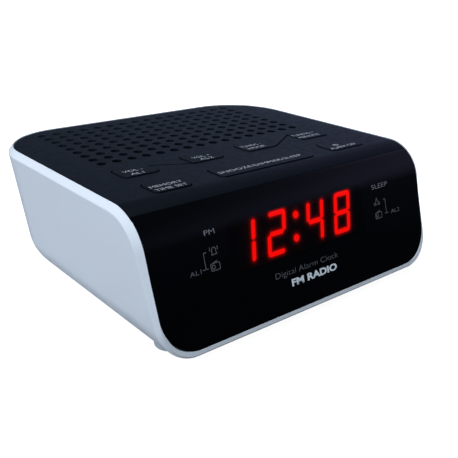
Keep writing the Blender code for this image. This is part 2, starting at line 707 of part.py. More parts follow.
def fixings_and_feet():
    """The case screws in their wells, the boards' screws and the feet."""
    corners = ("front_left", "front_right", "back_left", "back_right")
    for corner, (x, y) in zip(corners, at_mm(SCREW_PLACES)):
        head_foot = WELL_TOP - GAP - HEAD_HEIGHT
        screw_part("case_screw_" + corner, x, y, head_foot, CASE_SCREW)
    for side, (x, y) in zip(("left", "right"), at_mm(KEY_BOARD_SCREWS)):
        head_foot = KEY_BOARD_TOP - BOARD_THICKNESS - GAP - HEAD_HEIGHT
        screw_part("key_board_screw_" + side, x, y, head_foot, KEY_BOARD_SCREW)
    for side, (x, y) in zip(("left", "right"), at_mm(MAIN_BOARD_SCREWS)):
        head_foot = MAIN_BOARD_TOP + GAP + HEAD_HEIGHT
        screw_part("main_board_screw_" + side, x, y, head_foot, MAIN_BOARD_SCREW, True)
    for corner, (x, y) in zip(corners, at_mm(FOOT_PLACES)):
        radius = FOOT_RADIUS / MM
        top = (CASE_BOTTOM + FOOT_RECESS - GAP) / MM
        edge = FOOT_EDGE / MM
        profile = [(0.0, top), (radius, top), (radius, edge), (radius - edge, 0.0), (0.0, 0.0)]
        turned("foot_" + corner, profile, RUBBER, (x, y, 0.0), 24)


def display():
    """The LED module in the cover's window and its board, parallel to the slanted front."""
    inset = LENS_THICKNESS + MODULE_GAP
    middle_x = sum(WINDOW_X) / 2
    middle_up = sum(WINDOW_UP) / 2
    turn = slant_matrix()
    low = (middle_x - MODULE_WIDTH / 2, inset, middle_up - MODULE_HEIGHT / 2)
    high = (middle_x + MODULE_WIDTH / 2, inset + MODULE_DEPTH, middle_up + MODULE_HEIGHT / 2)
    box("display_module", low, high, DISPLAY, 0.0, turn)
    board_y = inset + MODULE_DEPTH + GAP
    low = (-DISPLAY_BOARD_HALF, board_y, DISPLAY_BOARD_UP[0])
    high = (DISPLAY_BOARD_HALF, board_y + BOARD_THICKNESS, DISPLAY_BOARD_UP[1])
    box("display_board", low, high, BOARD, 0.0, turn)


def board_with_holes(name, across, along, top, places):
    """A flat board with a hole at each screw."""
    low = (across[0], along[0], top - BOARD_THICKNESS)
    made = box(name, low, (across[1], along[1], top), BOARD)
    bm = bmesh.new()
    for x, y in at_mm(places):
        add_rod(bm, x, y, low[2] - PAST, top + PAST, BOARD_HOLE_RADIUS, 12)
    boolean(made, object_from(bm, name + "_holes"))


def boards():
    """The key board, the main board and what stands on it."""
    board_with_holes("key_board", KEY_BOARD_X, KEY_BOARD_Y, KEY_BOARD_TOP, KEY_BOARD_SCREWS)
    board_with_holes("main_board", MAIN_BOARD_X, MAIN_BOARD_Y, MAIN_BOARD_TOP, MAIN_BOARD_SCREWS)
    foot = MAIN_BOARD_TOP + GAP
    for name, (low, high, rise) in (("clock_chip", CLOCK_CHIP), ("tuner_chip", TUNER_CHIP)):
        box(name, (*low, foot), (*high, foot + rise), PART_BLACK)
    turned("smoothing_capacitor", CAPACITOR, PART_BLACK, (*CAPACITOR_PLACE, foot), 20)


def strip_outline(path, thickness):
    """A thin strip's outline from the side, along a bent path of (y, z) points."""
    left, right = [], []
    for i, point in enumerate(path):
        before = Vector(path[max(i - 1, 0)])
        after = Vector(path[min(i + 1, len(path) - 1)])
        along = (after - before).normalized()
        across = Vector((-along.y, along.x)) * thickness / 2
        left.append(tuple(Vector(point) + across))
        right.append(tuple(Vector(point) - across))
    return left + right[::-1]


def ribbons():
    """The flat cables between the boards."""
    for name, path, (left, right) in (
        ("display_ribbon", DISPLAY_RIBBON_PATH, DISPLAY_RIBBON_X),
        ("key_ribbon", KEY_RIBBON_PATH, KEY_RIBBON_X),
    ):
        plate(name, strip_outline(at_mm(path), RIBBON_THICKNESS), left, right, RIBBON)


def loudspeaker():
    """Frame, magnet, cone and voice coil, turned about the loudspeaker's axis."""
    at = (*SPEAKER_MIDDLE, 0.0)
    turned("speaker_frame", SPEAKER_FRAME, STEEL, at, 24, True)
    turned("speaker_magnet", SPEAKER_MAGNET, PART_BLACK, at)
    turned("speaker_cone", SPEAKER_CONE, PAPER, at)
    turned("voice_coil", VOICE_COIL, COPPER, at, 24, True)


def transformer():
    """A laminated core with two windows, and the winding on its middle leg."""
    x, y = CORE_MIDDLE
    wide, deep, high = CORE_SIZE
    low = (x - wide / 2, y - deep / 2, CORE_FOOT)
    core = box("transformer_core", low, (x + wide / 2, y + deep / 2, CORE_FOOT + high), LAMINATION)
    window_wide, window_high = CORE_WINDOW
    foot = CORE_FOOT + (high - window_high) / 2
    bm = bmesh.new()
    for side in (-1, 1):
        middle = x + side * (CORE_LEG + window_wide) / 2
        low = (middle - window_wide / 2, y - deep, foot)
        add_box(bm, low, (middle + window_wide / 2, y + deep, foot + window_high))
    boolean(core, object_from(bm, "core_windows"))
    half_x = CORE_LEG / 2 + window_wide - GAP
    half_y = deep / 2 + window_wide
    low = (x - half_x, y - half_y, foot + GAP)
    high_corner = (x + half_x, y + half_y, foot + window_high - GAP)
    winding = box("transformer_winding", low, high_corner, COPPER, WINDING_CORNER)
    bm = bmesh.new()
    half_x = CORE_LEG / 2 + GAP
    half_y = deep / 2 + GAP
    low = (x - half_x, y - half_y, foot - PAST)
    add_box(bm, low, (x + half_x, y + half_y, foot + window_high + PAST))
    boolean(winding, object_from(bm, "winding_bore"))


def battery_compartment():
    """The door with its two lugs, the cells and their contacts."""
    foot = CASE_BOTTOM
    left = CHAMBER_X[0] + GAP
    right = CHAMBER_X[1] - GAP
    low = (left, CHAMBER_Y[0] + GAP, foot)
    door = box("battery_door", low, (right, CHAMBER_Y[1] - GAP, foot + DOOR_THICKNESS), WHITE)
    bm = bmesh.new()
    for y in LUG_PLACES:
        lug_foot = CASE_BOTTOM + WALL + GAP
        near = left + LUG_HEIGHT
        front, back = y - LUG_WIDTH / 2, y + LUG_WIDTH / 2
        add_box(bm, (left - LUG_REACH, front, lug_foot), (near, back, lug_foot + LUG_HEIGHT))
    lugs = object_from(bm, "door_lugs")
    bm = bmesh.new()
    for y in LUG_PLACES:
        front, back = y - LUG_WIDTH / 2 + GAP, y + LUG_WIDTH / 2 - GAP
        low = (left + GAP, front, foot + DOOR_THICKNESS / 2)
        add_box(bm, low, (left + LUG_HEIGHT - GAP, back, CASE_BOTTOM + WALL + GAP + LUG_HEIGHT / 2))
    roots = object_from(bm, "door_lug_roots")
    boolean(door, roots, "UNION")
    boolean(door, lugs, "UNION")
    bm = bmesh.new()
    middle = sum(CHAMBER_Y) / 2
    for side in (-1, 1):
        y = middle + side * LATCH_SPREAD
        low = (right - LATCH_LENGTH, y - LATCH_SLIT / 2, foot - PAST)
        add_box(bm, low, (right + PAST, y + LATCH_SLIT / 2, foot + DOOR_THICKNESS + PAST))
    for i in range(GRIP_COUNT):
        far = right - (i + 1) * GRIP_PITCH + GRIP_WIDTH
        low = (far - GRIP_WIDTH, middle - GRIP_HALF_LENGTH, foot - PAST)
        add_box(bm, low, (far, middle + GRIP_HALF_LENGTH, foot + GRIP_DEPTH))
    boolean(door, object_from(bm, "latch_cuts"))
    set_origin(door, (left, middle, foot))

    spacing = CELL_RADIUS + GAP
    level = CASE_BOTTOM + WALL + 2 * GAP + CELL_RADIUS
    end = CELL_START + CELL_LENGTH
    radius = CELL_RADIUS / MM
    length = CELL_LENGTH / MM
    profile = [(0.0, length), (1.9, length), (1.9, length - 1.0), (radius, length - 1.0)]
    profile += [(radius, 0.0), (0.0, 0.0)]
    for name, side in (("front", -1), ("back", 1)):
        x = CELL_START if side < 0 else end
        place_at = (x, middle + side * spacing, level)
        cell = turned("backup_cell_" + name, profile, CELL_WRAP, place_at, 16)
        cell.rotation_euler = (0.0, -side * math.pi / 2, 0.0)
    near_x = CELL_START - CONTACT_PLAY - CONTACT_BUMP
    contact("battery_contact_link", near_x, 1, level, (middle - spacing, middle + spacing))
    far_x = end + CONTACT_PLAY + CONTACT_BUMP
    contact("battery_contact_front", far_x, -1, level, (middle - spacing,))
    contact("battery_contact_back", far_x, -1, level, (middle + spacing,))


def contact(name, face_x, side, level, bumps):
    """A contact plate whose bumps point at the ends of the cells."""
    ends = sorted((face_x, face_x - side * CONTACT_THICKNESS))
    low = (ends[0], bumps[0] - CONTACT_HALF_WIDTH, level - CONTACT_BELOW)
    high = (ends[1], bumps[-1] + CONTACT_HALF_WIDTH, level + CONTACT_ABOVE)
    made = box(name, low, high, STEEL)
    bm = bmesh.new()
    for y in bumps:
        reach = CONTACT_BUMP + CONTACT_THICKNESS / 2
        middle = face_x - side * CONTACT_THICKNESS / 2 + side * reach / 2
        turn = Matrix.Rotation(side * math.pi / 2, 4, "Y")
        bmesh.ops.create_cone(
            bm,
            cap_ends=True,
            segments=12,
            radius1=CONTACT_BUMP_RADII[0],
            radius2=CONTACT_BUMP_RADII[1],
            depth=reach,
            matrix=Matrix.Translation((middle, y, level)) @ turn,
        )
    boolean(made, object_from(bm, name + "_bumps"), "UNION")


def back_fittings():
    """The gland for the flat mains cord and the grommet for the wire aerial."""
    for name, (x, z), radius, bore in (
        ("mains_cord_gland", GLAND_PLACE, GLAND_RADIUS, GLAND_BORE),
        ("aerial_grommet", AERIAL_PLACE, AERIAL_RADIUS, AERIAL_BORE),
    ):
        wall_y = BACK_Y - BACK_LEAN * (CASE_TOP - z)
        inner = wall_y - WALL - FITTING_INSIDE
        outer = wall_y + FITTING_REACH
        profile = [(0.0, outer), (radius - FITTING_EDGE, outer), (radius, outer - FITTING_EDGE)]
        profile += [(radius, inner), (0.0, inner)]
        body = turned(name, [(r / MM, h / MM) for r, h in profile], PART_BLACK, (x, 0.0, z), 20)
        body.rotation_euler = (-math.pi / 2, 0.0, 0.0)
        bm = bmesh.new()
        matrix = Matrix.Translation((x, wall_y, z)) @ Matrix.Rotation(math.pi / 2, 4, "X")
        made = bmesh.ops.create_cone(
            bm, cap_ends=True, segments=16, radius1=1.0, radius2=1.0, depth=CUT_REACH, matrix=matrix
        )["verts"]
        for vert in made:
            vert.co.x = x + (vert.co.x - x) * bore[0]
            vert.co.z = z + (vert.co.z - z) * bore[1]
        boolean(body, object_from(bm, name + "_bore"))


lower_case()
top_cover()
front_sheet("display_lens", 0.0, LENS_THICKNESS, 0.0, GLOSS)
for entry in KEYS:
    key(*entry)
box(
    "grille_cloth",
    (CLOTH_X[0], CLOTH_Y[0], SPEAKER_TOP + GAP),
    (CLOTH_X[1], CLOTH_Y[1], SPEAKER_TOP + GAP + CLOTH_THICKNESS),
    CLOTH,
)
fixings_and_feet()
display()
boards()
ribbons()
loudspeaker()
transformer()
battery_compartment()
back_fittings()
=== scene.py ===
"""The looks of the clock radio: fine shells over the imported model, printed labels, lit digits,
procedural materials, a pale studio and the camera. Metres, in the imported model's frame."""

import json
import math

import bmesh
import bpy
from mathutils import Matrix, Vector


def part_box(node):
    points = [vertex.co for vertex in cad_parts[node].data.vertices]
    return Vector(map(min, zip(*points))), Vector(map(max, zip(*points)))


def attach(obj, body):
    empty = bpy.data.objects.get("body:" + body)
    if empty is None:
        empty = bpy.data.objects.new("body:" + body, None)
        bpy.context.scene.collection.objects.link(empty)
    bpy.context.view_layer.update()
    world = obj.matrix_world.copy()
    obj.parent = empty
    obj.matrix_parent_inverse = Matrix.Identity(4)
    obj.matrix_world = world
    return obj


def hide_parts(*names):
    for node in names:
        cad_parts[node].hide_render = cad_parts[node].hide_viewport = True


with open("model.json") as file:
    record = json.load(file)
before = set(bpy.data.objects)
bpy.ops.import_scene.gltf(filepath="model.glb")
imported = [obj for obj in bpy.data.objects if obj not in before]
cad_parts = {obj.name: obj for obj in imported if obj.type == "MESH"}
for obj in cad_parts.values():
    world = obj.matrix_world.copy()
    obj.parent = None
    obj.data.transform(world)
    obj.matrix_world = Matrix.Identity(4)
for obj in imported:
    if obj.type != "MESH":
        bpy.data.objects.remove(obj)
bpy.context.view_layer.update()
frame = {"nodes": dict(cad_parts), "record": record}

MM = 0.001
GAP = 0.3 * MM
MERGE = 0.0001 * MM

# The case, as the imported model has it.
CASE_TOP = 47.0 * MM
CASE_BOTTOM = 1.9 * MM
CASE_HALF_WIDTH = 66.9 * MM
SIDE_TAPER = 0.059
BACK_Y = 61.0 * MM
BACK_LEAN = 0.256
FRONT_Y = -60.57 * MM
FRONT_LEAN = math.radians(16.54)
LEAN_SIN, LEAN_COS = math.sin(FRONT_LEAN), math.cos(FRONT_LEAN)
FRONT_BEND = 15.7 * MM
CORNER_RADIUS = 28.0 * MM
BOTTOM_RADIUS = 12.0 * MM
BACK_BOTTOM_RADIUS = 5.0 * MM
RIM_BEVEL = 2.05 * MM
RIM_BEVEL_LOW = 0.8 * MM
RIM_RAMP = 26.0 * MM
RIM_PROUD = 0.25 * MM
RIM_ROUND_IN = 0.15 * MM
RIM_ROUND_OUT = 0.35 * MM
WALL = 2.2 * MM
LEAST_INNER_RADIUS = 1.5 * MM
CORNER_STEPS = 28

# The lens, the cover's slanted panel and the window in front of the digits.
LENS_HALF_WIDTH = 64.2 * MM
LENS_TAPER = 0.03
LENS_CORNER = 12.4 * MM
LENS_BOTTOM = 4.0 * MM
LENS_TOP_TURN = math.radians(58.9)
LENS_THICKNESS = 2.0 * MM
LENS_EDGE = 0.03 * MM
EDGE_SHARES = (0.15, 0.35, 0.6, 1.0)
PANEL_THICKNESS = 1.6 * MM
COVER_EDGE_TURN = math.radians(60.0)
COVER_STEP_TURN = math.radians(66.0)
COVER_LIP = 0.12 * MM
WINDOW_X = (-34.5 * MM, 30.5 * MM)
WINDOW_UP = (21.6 * MM, 39.9 * MM)

# The top.
GRILLE_COLUMNS = 16
GRILLE_ROWS = 9
GRILLE_PITCH_X = 6.23 * MM
GRILLE_PITCH_Y = 5.95 * MM
GRILLE_MIDDLE = (-0.7 * MM, 26.4 * MM)
GRILLE_HOLE = 3.4 * MM
GRILLE_FRONT = -3.0 * MM

# The keys' left, right, front and back edges, their letters and the power sign, in millimetres.
KEYS = (
    ("time_set", -49.5, -35.3, -35.4, -25.3),
    ("snooze", -22.7, 20.8, -35.2, -25.3),
    ("power", 31.8, 49.1, -34.7, -24.7),
    ("volume_down", -49.5, -35.3, -16.7, -6.8),
    ("volume_up", -21.2, -6.6, -16.2, -6.5),
    ("tune_down", 4.8, 19.8, -16.2, -6.5),
    ("tune_up", 34.6, 48.9, -15.8, -6.1),
)
KEY_LETTER = 1.85
POWER_SIGN = (38.3, -29.5)

KEY_RISE = 0.32 * MM
KEY_CLEARANCE = 0.4 * MM
KEY_CORNER = 2.0 * MM
KEY_FLANGE = 1.2 * MM
KEY_FLANGE_TOP = CASE_TOP - WALL - GAP
KEY_FLANGE_BOTTOM = KEY_FLANGE_TOP - 1.3 * MM
KEY_STEM = 4.0 * MM
KEY_STEM_CORNER = 0.5 * MM
KEY_STEM_FOOT = 41.5 * MM
KEY_ROUND = 0.35 * MM
PRINT = 0.03 * MM
SEAM = 0.1 * MM
KEY_LIP = 0.1 * MM
GRILLE_LIP = 0.25 * MM
GROOVES = (((-38.0, -7.4), (-20.2, -16.5)), ((19.0, -16.2), (35.2, -5.9)))
GROOVE_SECTION = ((-0.22, -0.5), (0.22, -0.5), (0.52, 0.1), (-0.52, 0.1))

# The base and the back.
SCREW_PLACES = ((-55.5, -30.0), (55.5, -30.0), (-54.0, 22.0), (54.0, 22.0))
WELL_RADIUS = 3.0 * MM
WELL_TOP = 10.5 * MM
WELL_LIP = 0.3 * MM
TUBE_RADIUS = 4.0 * MM
TUBE_FOOT = 3.8 * MM
TUBE_TOP = 14.0 * MM
TUBE_BORE = 1.7 * MM
FOOT_PLACES = ((-53.2, -46.3), (53.2, -46.3), (-46.0, 35.5), (46.0, 35.5))
FOOT_RADIUS = 5.0 * MM
FOOT_RECESS = 1.2 * MM
FOOT_ROUND = 0.8 * MM
FOOT_EDGE = 0.15 * MM
FOOT_DISH = ((3.2 * MM, 0.0), (2.9 * MM, 0.25 * MM))
CHAMBER_X = (-45.6 * MM, 5.9 * MM)
CHAMBER_Y = (3.0 * MM, 26.0 * MM)
CHAMBER_TOP = 17.0 * MM
CHAMBER_WALL = 1.6 * MM
DOOR_THICKNESS = 1.8 * MM
DOOR_CORNER = 0.6 * MM
DOOR_ROUND = 0.3 * MM
LUG_PLACES = (8.0 * MM, 21.0 * MM)
LUG_WIDTH = 4.0 * MM
LUG_REACH = 3.0 * MM
LUG_HEIGHT = 1.5 * MM
LUG_ROOM_TOP = 8.2 * MM
LATCH_SPREAD = 4.0 * MM
LATCH_LENGTH = 7.0 * MM
LATCH_SLIT = 0.8 * MM
GRIP_COUNT = 3
GRIP_PITCH = 1.5 * MM
GRIP_WIDTH = 0.7 * MM
GRIP_DEPTH = 0.4 * MM
GRIP_HALF_LENGTH = 2.4 * MM
GRIP_CORNER = 0.3 * MM
FINGER_RADIUS = 4.4 * MM
FINGER_DEPTH = 1.3 * MM
FINGER_ROUND = 0.8 * MM
VENT_MIDDLE_X = 27.5 * MM
VENT_COUNT = 7
VENT_PITCH = 4.6 * MM
VENT_HALF_WIDTH = 1.0 * MM
VENT_Y = (12.0 * MM, 29.0 * MM)
VENT_CORNER = 0.9 * MM
VENT_LIP = 0.25 * MM
VENT_TOP = 6.0 * MM
GLAND_PLACE = (34.0 * MM, 15.0 * MM)
GLAND_RADIUS = 4.9 * MM
AERIAL_PLACE = (-30.0 * MM, 15.0 * MM)
AERIAL_RADIUS = 2.3 * MM
BORE = 20.0 * MM
STAND_OUT = 5.0 * MM
PAST = 1.0 * MM

# Printed signs.
LEAST_MITRE = 0.4
SIGN_LINE = 0.22 * MM
POWER_LINE = 0.3 * MM

# Digits, on the module's face behind the lens, by distance across and up the front.
DIGIT_DEPTH = 2.5 * MM
DIGIT_UP = 31.13 * MM
DIGIT_SLANT = 0.158
DIGIT_HEIGHT = 15.2 * MM
DIGIT_WIDTH = 8.7 * MM
STROKE = 1.88 * MM
SOFT_EDGE = 0.16 * MM
SEGMENT_GAP = 0.24 * MM
SEGMENT_REACH = 0.28 * MM
JOINT_DISC = 0.72
POINTED = 0.3
SEGMENTS = {
    "a": ((-1, 1), (1, 1)), "b": ((1, 1), (1, 0)), "c": ((1, 0), (1, -1)),
    "d": ((-1, -1), (1, -1)), "e": ((-1, 0), (-1, -1)), "f": ((-1, 1), (-1, 0)),
    "g": ((-1, 0), (1, 0)),
}
DIGITS = ((-25.15, "bc"), (-11.35, "abged"), (7.25, "fgbc"), (21.3, "abcdefg"))
COLON = ((-1.6, 35.25), (-2.8, 27.3))
COLON_RADIUS = 1.4 * MM
HALO_COLUMNS, HALO_ROWS = 300, 80
HALO_HALF_HEIGHT = 8.6 * MM
HALO_MARGIN = 0.2 * MM
HALO_LIFT = 0.02 * MM
HALO_REACHES = (0.30 * MM, 1.6 * MM)
HALO_FAR_SHARE = 0.022

# Materials.
NOISE_RANGE = (0.3, 0.7)
BAND = 0.314159  # the wave texture's scale for bands a metre apart
CLOTH_PITCH = 0.55 * MM
# Painted light on the cover's hole walls, and the depths below the top over which it comes in.
PAINTED_WALL_LIGHT = (0.030, 0.036, 0.048)
PAINTED_LIGHT_DEPTHS = (0.1 * MM, 0.5 * MM)
LENS_ALPHA = 0.75
PRINT_OVERLAP = 0.4 * MM
PRINT_FOOT = 0.3 * MM
PRINT_FADE = 0.25 * MM
WHITE = (1.0, 1.0, 1.0, 1.0)

# The studio and the photograph's camera.
LAMP_TARGET = (0.0, 0.0, 0.02)
FLOOR_RADIUS = 1.6
FLOOR_GLOW = 0.95
SHADE_MIDDLE = (0.02, -0.10, 0.0)
SHADE_REACH = (0.05, 0.15)
SHADE_DEPTH = 0.12
CAMERA_PLACE = (-0.1557, -0.1982, 0.1145)
CAMERA_RIGHT = (0.77278986, -0.63446402, 0.01585051)
CAMERA_UP = (0.22866853, 0.30164645, 0.92559177)
CAMERA_BACK = (-0.59203592, -0.71166342, 0.37819128)
CAMERA_LENS = 52.085


# --- materials


def feed(target, inputs):
    """Sets a node's inputs to values, or links them from outputs or from nodes' first outputs."""
    for name, value in inputs.items():
        if isinstance(value, bpy.types.Node):
            value = value.outputs[0]
        if isinstance(value, bpy.types.NodeSocket):
            target.id_data.links.new(value, target.inputs[name])
        else:
            target.inputs[name].default_value = value


def node(tree, kind, inputs=None, **settings):
    """A shader node with these inputs and properties."""
    made = tree.nodes.new("ShaderNode" + kind)
    for name, value in settings.items():
        setattr(made, name, value)
    feed(made, inputs or {})
    return made


def ranged(tree, source, start, end, low=0.0, high=1.0, smooth=False):
    """A source's stretch from start to end, turned into low to high."""
    inputs = {"Value": source, "From Min": start, "From Max": end, "To Min": low, "To Max": high}
    kind = "SMOOTHSTEP" if smooth else "LINEAR"
    return node(tree, "MapRange", inputs, interpolation_type=kind)


def blended(tree, source, dark, light, ends=(0.0, 1.0)):
    """A colour between two, as a source goes from one end to the other."""
    made = node(tree, "ValToRGB", {"Fac": source})
    for element, colour, end in zip(made.color_ramp.elements, (dark, light), ends):
        element.color = (*colour, 1.0)
        element.position = end
    return made


def chained(tree, kind, operation, values):
    """Values added or multiplied together, one after another."""
    total = values[0]
    for value in values[1:]:
        total = node(tree, kind, {0: total, 1: value}, operation=operation)
    return total


def scaled(tree, colour, *factors):
    """A colour times each of the factors."""
    for factor in factors:
        colour = node(tree, "VectorMath", {0: colour, "Scale": factor}, operation="SCALE")
    return colour


def surface(
    name, colour, roughness, metallic=0.0, tint=0.05, tint_scale=70.0, rough_spread=0.06,
    rough_scale=240.0, grain=0.15, grain_scale=2600.0, grain_depth=0.02, **sockets
):
    """A material with a cloudy tint, uneven gloss and a fine grain, all from 3-D noise."""
    made = bpy.data.materials.new(name)
    made.use_nodes = True
    tree = made.node_tree
    place = node(tree, "TexCoord").outputs["Object"]
    cloud, blotch, fine = (
        node(tree, "TexNoise", {"Vector": place, "Scale": scale, "Detail": detail})
        for scale, detail in ((tint_scale, 4.0), (rough_scale, 3.0), (grain_scale, 2.0))
    )
    dark, light = ([min(c * f, 1.0) for c in colour] for f in (1 - tint, 1 + tint))
    least, most = max(roughness - rough_spread, 0.0), min(roughness + rough_spread, 1.0)
    bump = {"Height": fine, "Strength": grain, "Distance": grain_depth * MM}
    feed(tree.nodes["Principled BSDF"], {
        "Metallic": metallic,
        "Base Color": blended(tree, cloud, dark, light, NOISE_RANGE),
        "Roughness": ranged(tree, blotch, *NOISE_RANGE, least, most),
        "Normal": node(tree, "Bump", bump),
        **{socket.replace("_", " "): value for socket, value in sockets.items()},
    })
    return made


def parts_of(made):
    """A material's tree, shader, object coordinates and bump node."""
    nodes = made.node_tree.nodes
    kinds = {n.bl_idname: n for n in nodes}
    place = kinds["ShaderNodeTexCoord"].outputs["Object"]
    return made.node_tree, nodes["Principled BSDF"], place, kinds["ShaderNodeBump"]


def base_colour(shader):
    """What feeds a shader's base colour."""
    return shader.inputs["Base Color"].links[0].from_socket


def add_bands(made, axis, pitch, dark, light, depth, distortion=0.0):
    """Fine bands across a material: in its colour and, by depth in millimetres, its height."""
    tree, shader, place, bump = parts_of(made)
    inputs = {"Vector": place, "Scale": BAND / pitch, "Distortion": distortion, "Detail": 2.0}
    wave = node(tree, "TexWave", inputs, bands_direction=axis).outputs["Fac"]
    feed(shader, {"Base Color": blended(tree, wave, dark, light)})
    feed(bump, {"Height": wave, "Distance": depth * MM, "Strength": 1.0})
    return made


def circuit_material():
    """A brown board whose underside shows copper tracks under green lacquer."""
    made = surface("board_lacquer", (0.23, 0.14, 0.05), 0.42, grain=0.1)
    tree, shader, place, bump = parts_of(made)
    inputs = {
        "Vector": place, "Scale": 1.0, "Mortar Size": 0.45 * MM, "Mortar Smooth": 0.1,
        "Brick Width": 9.2 * MM, "Row Height": 3.1 * MM, "Color1": (0.045, 0.10, 0.03, 1.0),
        "Color2": (0.06, 0.13, 0.035, 1.0), "Mortar": (0.30, 0.17, 0.05, 1.0),
    }
    rows = {"offset": 0.37, "offset_frequency": 3, "squash": 0.6, "squash_frequency": 2}
    tracks = node(tree, "TexBrick", inputs, **rows)
    feed(shader, {"Base Color": tracks})
    feed(bump, {"Height": tracks.outputs["Fac"], "Distance": 0.04 * MM})
    return made


def cloth_material():
    """Black cloth with a plain weave."""
    made = surface("speaker_cloth", (0.012, 0.012, 0.013), 0.9, grain=0.6)
    tree, shader, place, bump = parts_of(made)
    inputs = {"Vector": place, "Scale": BAND / CLOTH_PITCH, "Distortion": 0.6}
    threads = [node(tree, "TexWave", inputs, bands_direction=a).outputs["Fac"] for a in "XY"]
    weave = chained(tree, "Math", "MULTIPLY", threads)
    dark, light = (0.004, 0.004, 0.005), (0.022, 0.022, 0.024)
    feed(shader, {"Base Color": blended(tree, weave, dark, light)})
    feed(bump, {"Height": weave, "Distance": 0.12 * MM})
    return made


def cover_material():
    """Matte black with a fine grain, and painted light: the walls of the grille's holes are
    lighter below the top, the more so towards the back.
    """
    made = surface(
        "cover_black", (0.0014, 0.0022, 0.0042), 0.45, tint=0.10, tint_scale=900.0,
        rough_spread=0.04, rough_scale=500.0, grain=0.16, grain_scale=2400.0, grain_depth=0.015,
        Specular_IOR_Level=0.11, Specular_Tint=(0.5, 0.80, 0.93, 1.0),
    )
    tree, shader, place, _ = parts_of(made)
    split = node(tree, "SeparateXYZ", {"Vector": place})
    # Painted light: the hole walls are lighter below the top, and more so towards the back.
    below = ranged(tree, split.outputs["Z"], *(CASE_TOP - depth for depth in PAINTED_LIGHT_DEPTHS))
    behind = ranged(tree, split.outputs["Y"], GRILLE_FRONT, BACK_Y)
    wall_light = scaled(tree, PAINTED_WALL_LIGHT, below, behind)
    lit_walls = chained(tree, "VectorMath", "ADD", (base_colour(shader), wall_light))
    feed(shader, {"Base Color": lit_walls})
    return made


def lens_material():
    """Polished acrylic, printed black behind, with a smoked window in front of the digits."""
    made = surface(
        "smoked_acrylic", (0.0004, 0.0006, 0.0011), 0.055, tint=0.25, tint_scale=25.0,
        rough_spread=0.02, rough_scale=90.0, grain=0.02, grain_scale=160.0, IOR=1.49,
    )
    tree, shader, place, _ = parts_of(made)
    split = node(tree, "SeparateXYZ", {"Vector": place})
    masks = []
    for axis, low, high in (
        ("X", WINDOW_X[0] + PRINT_OVERLAP, WINDOW_X[1] - PRINT_OVERLAP),
        ("Z", (WINDOW_UP[0] + PRINT_FOOT) * LEAN_COS, (WINDOW_UP[1] - PRINT_OVERLAP) * LEAN_COS),
    ):
        for edge, fade in ((low, PRINT_FADE), (high, -PRINT_FADE)):
            masks.append(ranged(tree, split.outputs[axis], edge - fade, edge + fade))
    window = chained(tree, "Math", "MULTIPLY", masks)
    feed(shader, {"Alpha": ranged(tree, window, 0.0, 1.0, 1.0, LENS_ALPHA)})
    return made


def lit_material(name, strength, halo):
    """Red light, a little uneven over the face. A halo fades by the mesh's own glow values."""
    made = surface(
        name, (0.030, 0.004, 0.004), 0.4, tint=0.10, tint_scale=500.0, grain=0.1
    )
    tree, shader, place, _ = parts_of(made)
    if halo:
        level = node(tree, "Attribute", attribute_name="glow").outputs["Fac"]
    else:
        level = node(tree, "TexNoise", {"Vector": place, "Scale": 700.0})
    least = 0.0 if halo else 0.9 * strength
    light = ranged(tree, level, 0.0, 1.0, least, strength)
    feed(shader, {"Emission Color": (1.0, 0.003, 0.001, 1.0), "Emission Strength": light})
    return made


def ink(name, colour, roughness=0.5, tint=0.10):
    """A flat printed ink."""
    return surface(name, colour, roughness, tint=tint, tint_scale=1500.0, grain=0.2)


MATERIALS = {
    "white_case": surface(
        "case_white", (0.722, 0.766, 0.822), 0.34, tint=0.012, tint_scale=30.0, rough_spread=0.05,
        grain=0.12, grain_scale=2200.0, grain_depth=0.01,
    ),
    "matte_black": cover_material(),
    "gloss_black": lens_material(),
    "foot_rubber": surface(
        "foot_grey", (0.62, 0.68, 0.75), 0.6, tint=0.06, grain=0.4, grain_scale=1800.0
    ),
    "plated_steel": surface(
        "zinc_plate", (0.60, 0.60, 0.57), 0.32, 1.0, tint=0.10, tint_scale=400.0,
        rough_spread=0.10, rough_scale=700.0, grain=0.2,
    ),
    "circuit_board": circuit_material(),
    "black_moulding": surface(
        "moulded_black", (0.016, 0.016, 0.018), 0.48, tint=0.12, grain=0.3, grain_scale=1700.0
    ),
    "red_display": surface(
        "display_face", (0.030, 0.006, 0.006), 0.38, tint=0.12, tint_scale=500.0, grain=0.2
    ),
    "grille_cloth": cloth_material(),
    "cone_paper": add_bands(
        surface("cone_paper", (0.05, 0.045, 0.04), 0.9, grain=0.8),
        "Z", 1.1 * MM, (0.035, 0.032, 0.028), (0.06, 0.055, 0.048), 0.1, 1.5,
    ),
    "magnet_ferrite": surface(
        "ferrite", (0.045, 0.045, 0.05), 0.6, tint=0.15, tint_scale=600.0, grain=0.5
    ),
    "copper_wire": add_bands(
        surface("wound_wire", (0.55, 0.20, 0.08), 0.35, 0.85),
        "Z", 0.35 * MM, (0.22, 0.06, 0.02), (0.62, 0.24, 0.09), 0.12, 0.4,
    ),
    "core_steel": add_bands(
        surface("laminations", (0.25, 0.25, 0.26), 0.45, 0.9),
        "Y", 0.5 * MM, (0.10, 0.10, 0.11), (0.30, 0.30, 0.31), 0.08, 0.2,
    ),
    "cell_wrap": add_bands(
        surface("cell_sleeve", (0.05, 0.16, 0.30), 0.3),
        "X", 22.0 * MM, (0.03, 0.10, 0.22), (0.35, 0.37, 0.40), 0.0,
    ),
    "ribbon_grey": add_bands(
        surface("ribbon_grey", (0.45, 0.45, 0.47), 0.5),
        "X", 1.27 * MM, (0.20, 0.20, 0.21), (0.52, 0.52, 0.54), 0.25,
    ),
}
INK = ink("printed_ink", (0.21, 0.22, 0.245))
FAINT_INK = ink("faint_ink", (0.13, 0.135, 0.15))
BOLD_INK = ink("printed_white", (0.78, 0.84, 0.90), tint=0.06)
